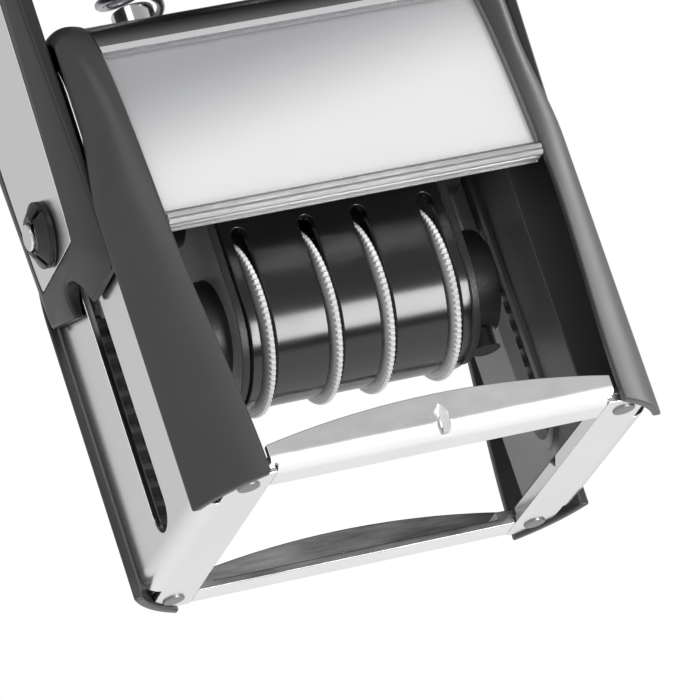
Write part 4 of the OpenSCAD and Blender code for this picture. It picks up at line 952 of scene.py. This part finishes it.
# pieces that keep the CAD shape and get broken edges: finish and edge in millimetres
edgedNodes = {
    "side_plate_left": ("plateSteel", 0.18), "side_plate_right": ("plateSteel", 0.18),
    "guide_liner_left": ("linerWall", 0.2), "guide_liner_right": ("linerWall", 0.2),
    "arm_left": ("bowPlastic", 0.5), "arm_right": ("bowPlastic", 0.5),
    "arm_inlay_left": ("inlaySteel", 0.12), "arm_inlay_right": ("inlaySteel", 0.12),
    "flip_axle": ("axleSteel", 0.3),
    "axle_cap_left": ("capPlastic", 0.15), "axle_cap_right": ("capPlastic", 0.15),
    "carriage_body": ("carriagePlastic", 0.2), "date_drum": ("drumPlastic", 0.22),
    "ink_tray": ("linerPlastic", 0.2), "die_plate": ("platePlastic", 0.2), "rubber_die": ("printRubber", 0.15),
    "top_bridge": ("rivetSteel", 0.15), "spring_posts": ("axleSteel", 0.3), "band_nose": ("gearPlastic", 0.2),
}
plainNodes = {  # closed in by other pieces
    "flip_rack_left": "gearPlastic", "flip_rack_right": "gearPlastic",
    "flip_sector_left": "gearPlastic", "flip_sector_right": "gearPlastic",
    "bridge_screws": "rivetSteel", "wheel_axle": "axleSteel",
    "date_band_1": "bandRubber", "date_band_2": "bandRubber",
    "date_band_3": "bandRubber", "date_band_4": "bandRubber",
}


def cadPieces():
    for node, (finish, edge) in edgedNodes.items():
        name = node + "_edged"
        dressed(name, cadCopy(node, name), finish, [node], edge, sharp=cadJoin["sharp"])
    for node, finish in plainNodes.items():
        nodes[node].data.materials.clear()
        nodes[node].data.materials.append(finishes[finish])


cadPieces()
print("edged pieces done")


# studio: a pale floor that is seen from above only, a white tent and soft boxes
floorLook = {"size": 3.0, "colour": (0.90, 0.90, 0.905), "rough": 0.7, "glow": 0.28, "tone": 8.0,
             "toneDetail": 3.0, "dull": 0.985, "hide": 9.0}


def studioFloor():
    f = floorLook
    mesh = bpy.data.meshes.new("floor")
    s = f["size"] / 2
    mesh.from_pydata([(-s, -s, 0), (s, -s, 0), (s, s, 0), (-s, s, 0)], [], [(0, 1, 2, 3)])
    floor = bpy.data.objects.new("floor", mesh)
    bpy.context.scene.collection.objects.link(floor)
    finish, tree, shader = startFinish("paleFloor", f["colour"], f["rough"])
    tone = speckle(tree, stretched(tree), f["tone"], f["toneDetail"])
    coloured(tree, shader, varied(tree, tone, f["colour"], f["dull"], 1.0))
    shader.inputs["Emission Color"].default_value = (*f["colour"], 1)
    shader.inputs["Emission Strength"].default_value = f["glow"]
    clear = tree.nodes.new("ShaderNodeBsdfTransparent")
    facing = tree.nodes.new("ShaderNodeNewGeometry")
    path = tree.nodes.new("ShaderNodeLightPath")
    # shut to scattered light, open to light from below, and seen from above only
    solid = combined(tree, "ADD", path.outputs["Is Camera Ray"], path.outputs["Diffuse Depth"])
    backed = spread(tree, facing.outputs["Backfacing"], 0.0, f["hide"], 0.0, 1.0)
    shown = combined(tree, "SUBTRACT", solid.outputs[0], backed)
    shown.use_clamp = True
    mix = tree.nodes.new("ShaderNodeMixShader")
    tree.links.new(shown.outputs[0], mix.inputs["Fac"])
    tree.links.new(clear.outputs[0], mix.inputs[1])
    tree.links.new(shader.outputs[0], mix.inputs[2])
    tree.links.new(mix.outputs[0], tree.nodes["Material Output"].inputs["Surface"])
    mesh.materials.append(finish)


tentLook = {"below": 1.12, "above": 0.36, "dim": 0.08, "dimToward": (0.36, 0.35, 0.87), "from": 0.60, "to": 0.92,
            "front": 0.7, "frontFrom": -0.9, "frontTo": -0.35, "backdrop": 1.0}


def studioTent():
    t = tentLook
    world = bpy.data.worlds.new("tent")
    bpy.context.scene.world = world
    world.use_nodes = True
    tree = world.node_tree
    background = tree.nodes["Background"]
    background.inputs["Color"].default_value = (1, 1, 1, 1)
    coords = tree.nodes.new("ShaderNodeTexCoord")
    toward = tree.nodes.new("ShaderNodeVectorMath")
    toward.operation = "DOT_PRODUCT"
    toward.inputs[1].default_value = Vector(t["dimToward"]).normalized()
    tree.links.new(coords.outputs["Generated"], toward.inputs[0])
    dimmed = spread(tree, toward.outputs["Value"], 1.0, t["dim"], t["from"], t["to"])
    split = tree.nodes.new("ShaderNodeSeparateXYZ")
    tree.links.new(coords.outputs["Generated"], split.inputs["Vector"])
    height = spread(tree, split.outputs["Z"], t["below"], t["above"], -1.0, 1.0)
    ahead = spread(tree, split.outputs["Y"], t["front"], 1.0, t["frontFrom"], t["frontTo"])
    both = combined(tree, "MULTIPLY", height, ahead)
    level = combined(tree, "MULTIPLY", both.outputs[0], dimmed)
    path = tree.nodes.new("ShaderNodeLightPath")
    pick = tree.nodes.new("ShaderNodeMix")
    pick.data_type = "FLOAT"
    pick.inputs["B"].default_value = t["backdrop"]
    tree.links.new(path.outputs["Is Camera Ray"], pick.inputs["Factor"])
    tree.links.new(level.outputs[0], pick.inputs["A"])
    tree.links.new(pick.outputs["Result"], background.inputs["Strength"])


softBoxes = {  # place, size and power
    "keyBox": {"place": (-0.55, -0.75, 0.45), "size": (0.5, 0.5), "power": 1.0},
    "lowBox": {"place": (0.33, -0.74, -0.40), "size": (0.26, 0.5), "power": 5.2},
    "rimBox": {"place": (0.75, 0.15, 0.25), "size": (0.2, 0.6), "power": 1.4},
}
lookAt = (0, 0, 0.05)  # each box looks at the middle of the body


def studioLights():
    for name, box in softBoxes.items():
        lamp = bpy.data.lights.new(name, "AREA")
        lamp.shape = "RECTANGLE"
        lamp.size, lamp.size_y = box["size"]
        lamp.energy = box["power"]
        light = bpy.data.objects.new(name, lamp)
        bpy.context.scene.collection.objects.link(light)
        light.location = box["place"]
        light.rotation_euler = (Vector(lookAt) - Vector(box["place"])).to_track_quat("-Z", "Y").to_euler()
        light.visible_camera = False


cameraSet = {"place": (-0.33410, -0.82573, -0.26720), "lens": 310.57, "sensor": 36.0, "clip": (0.01, 20.0),
             "right": (0.91594888, -0.2639718, -0.30225243),
             "down": (-0.18325653, 0.3949257, -0.90025037),
             "ahead": (0.35700796, 0.87997306, 0.3133572)}


def photoCamera():
    c = cameraSet
    data = bpy.data.cameras.new("photoCamera")
    data.lens = c["lens"]
    data.sensor_width = c["sensor"]
    data.clip_start, data.clip_end = c["clip"]
    camera = bpy.data.objects.new("photoCamera", data)
    bpy.context.scene.collection.objects.link(camera)
    axes = Matrix((Vector(c["right"]), -Vector(c["down"]), -Vector(c["ahead"]))).transposed()
    camera.matrix_world = Matrix.Translation(Vector(c["place"])) @ axes.to_4x4()
    bpy.context.scene.camera = camera


studioFloor()
studioTent()
studioLights()
photoCamera()
bpy.context.scene.view_settings.view_transform = "Standard"
print("studio done")
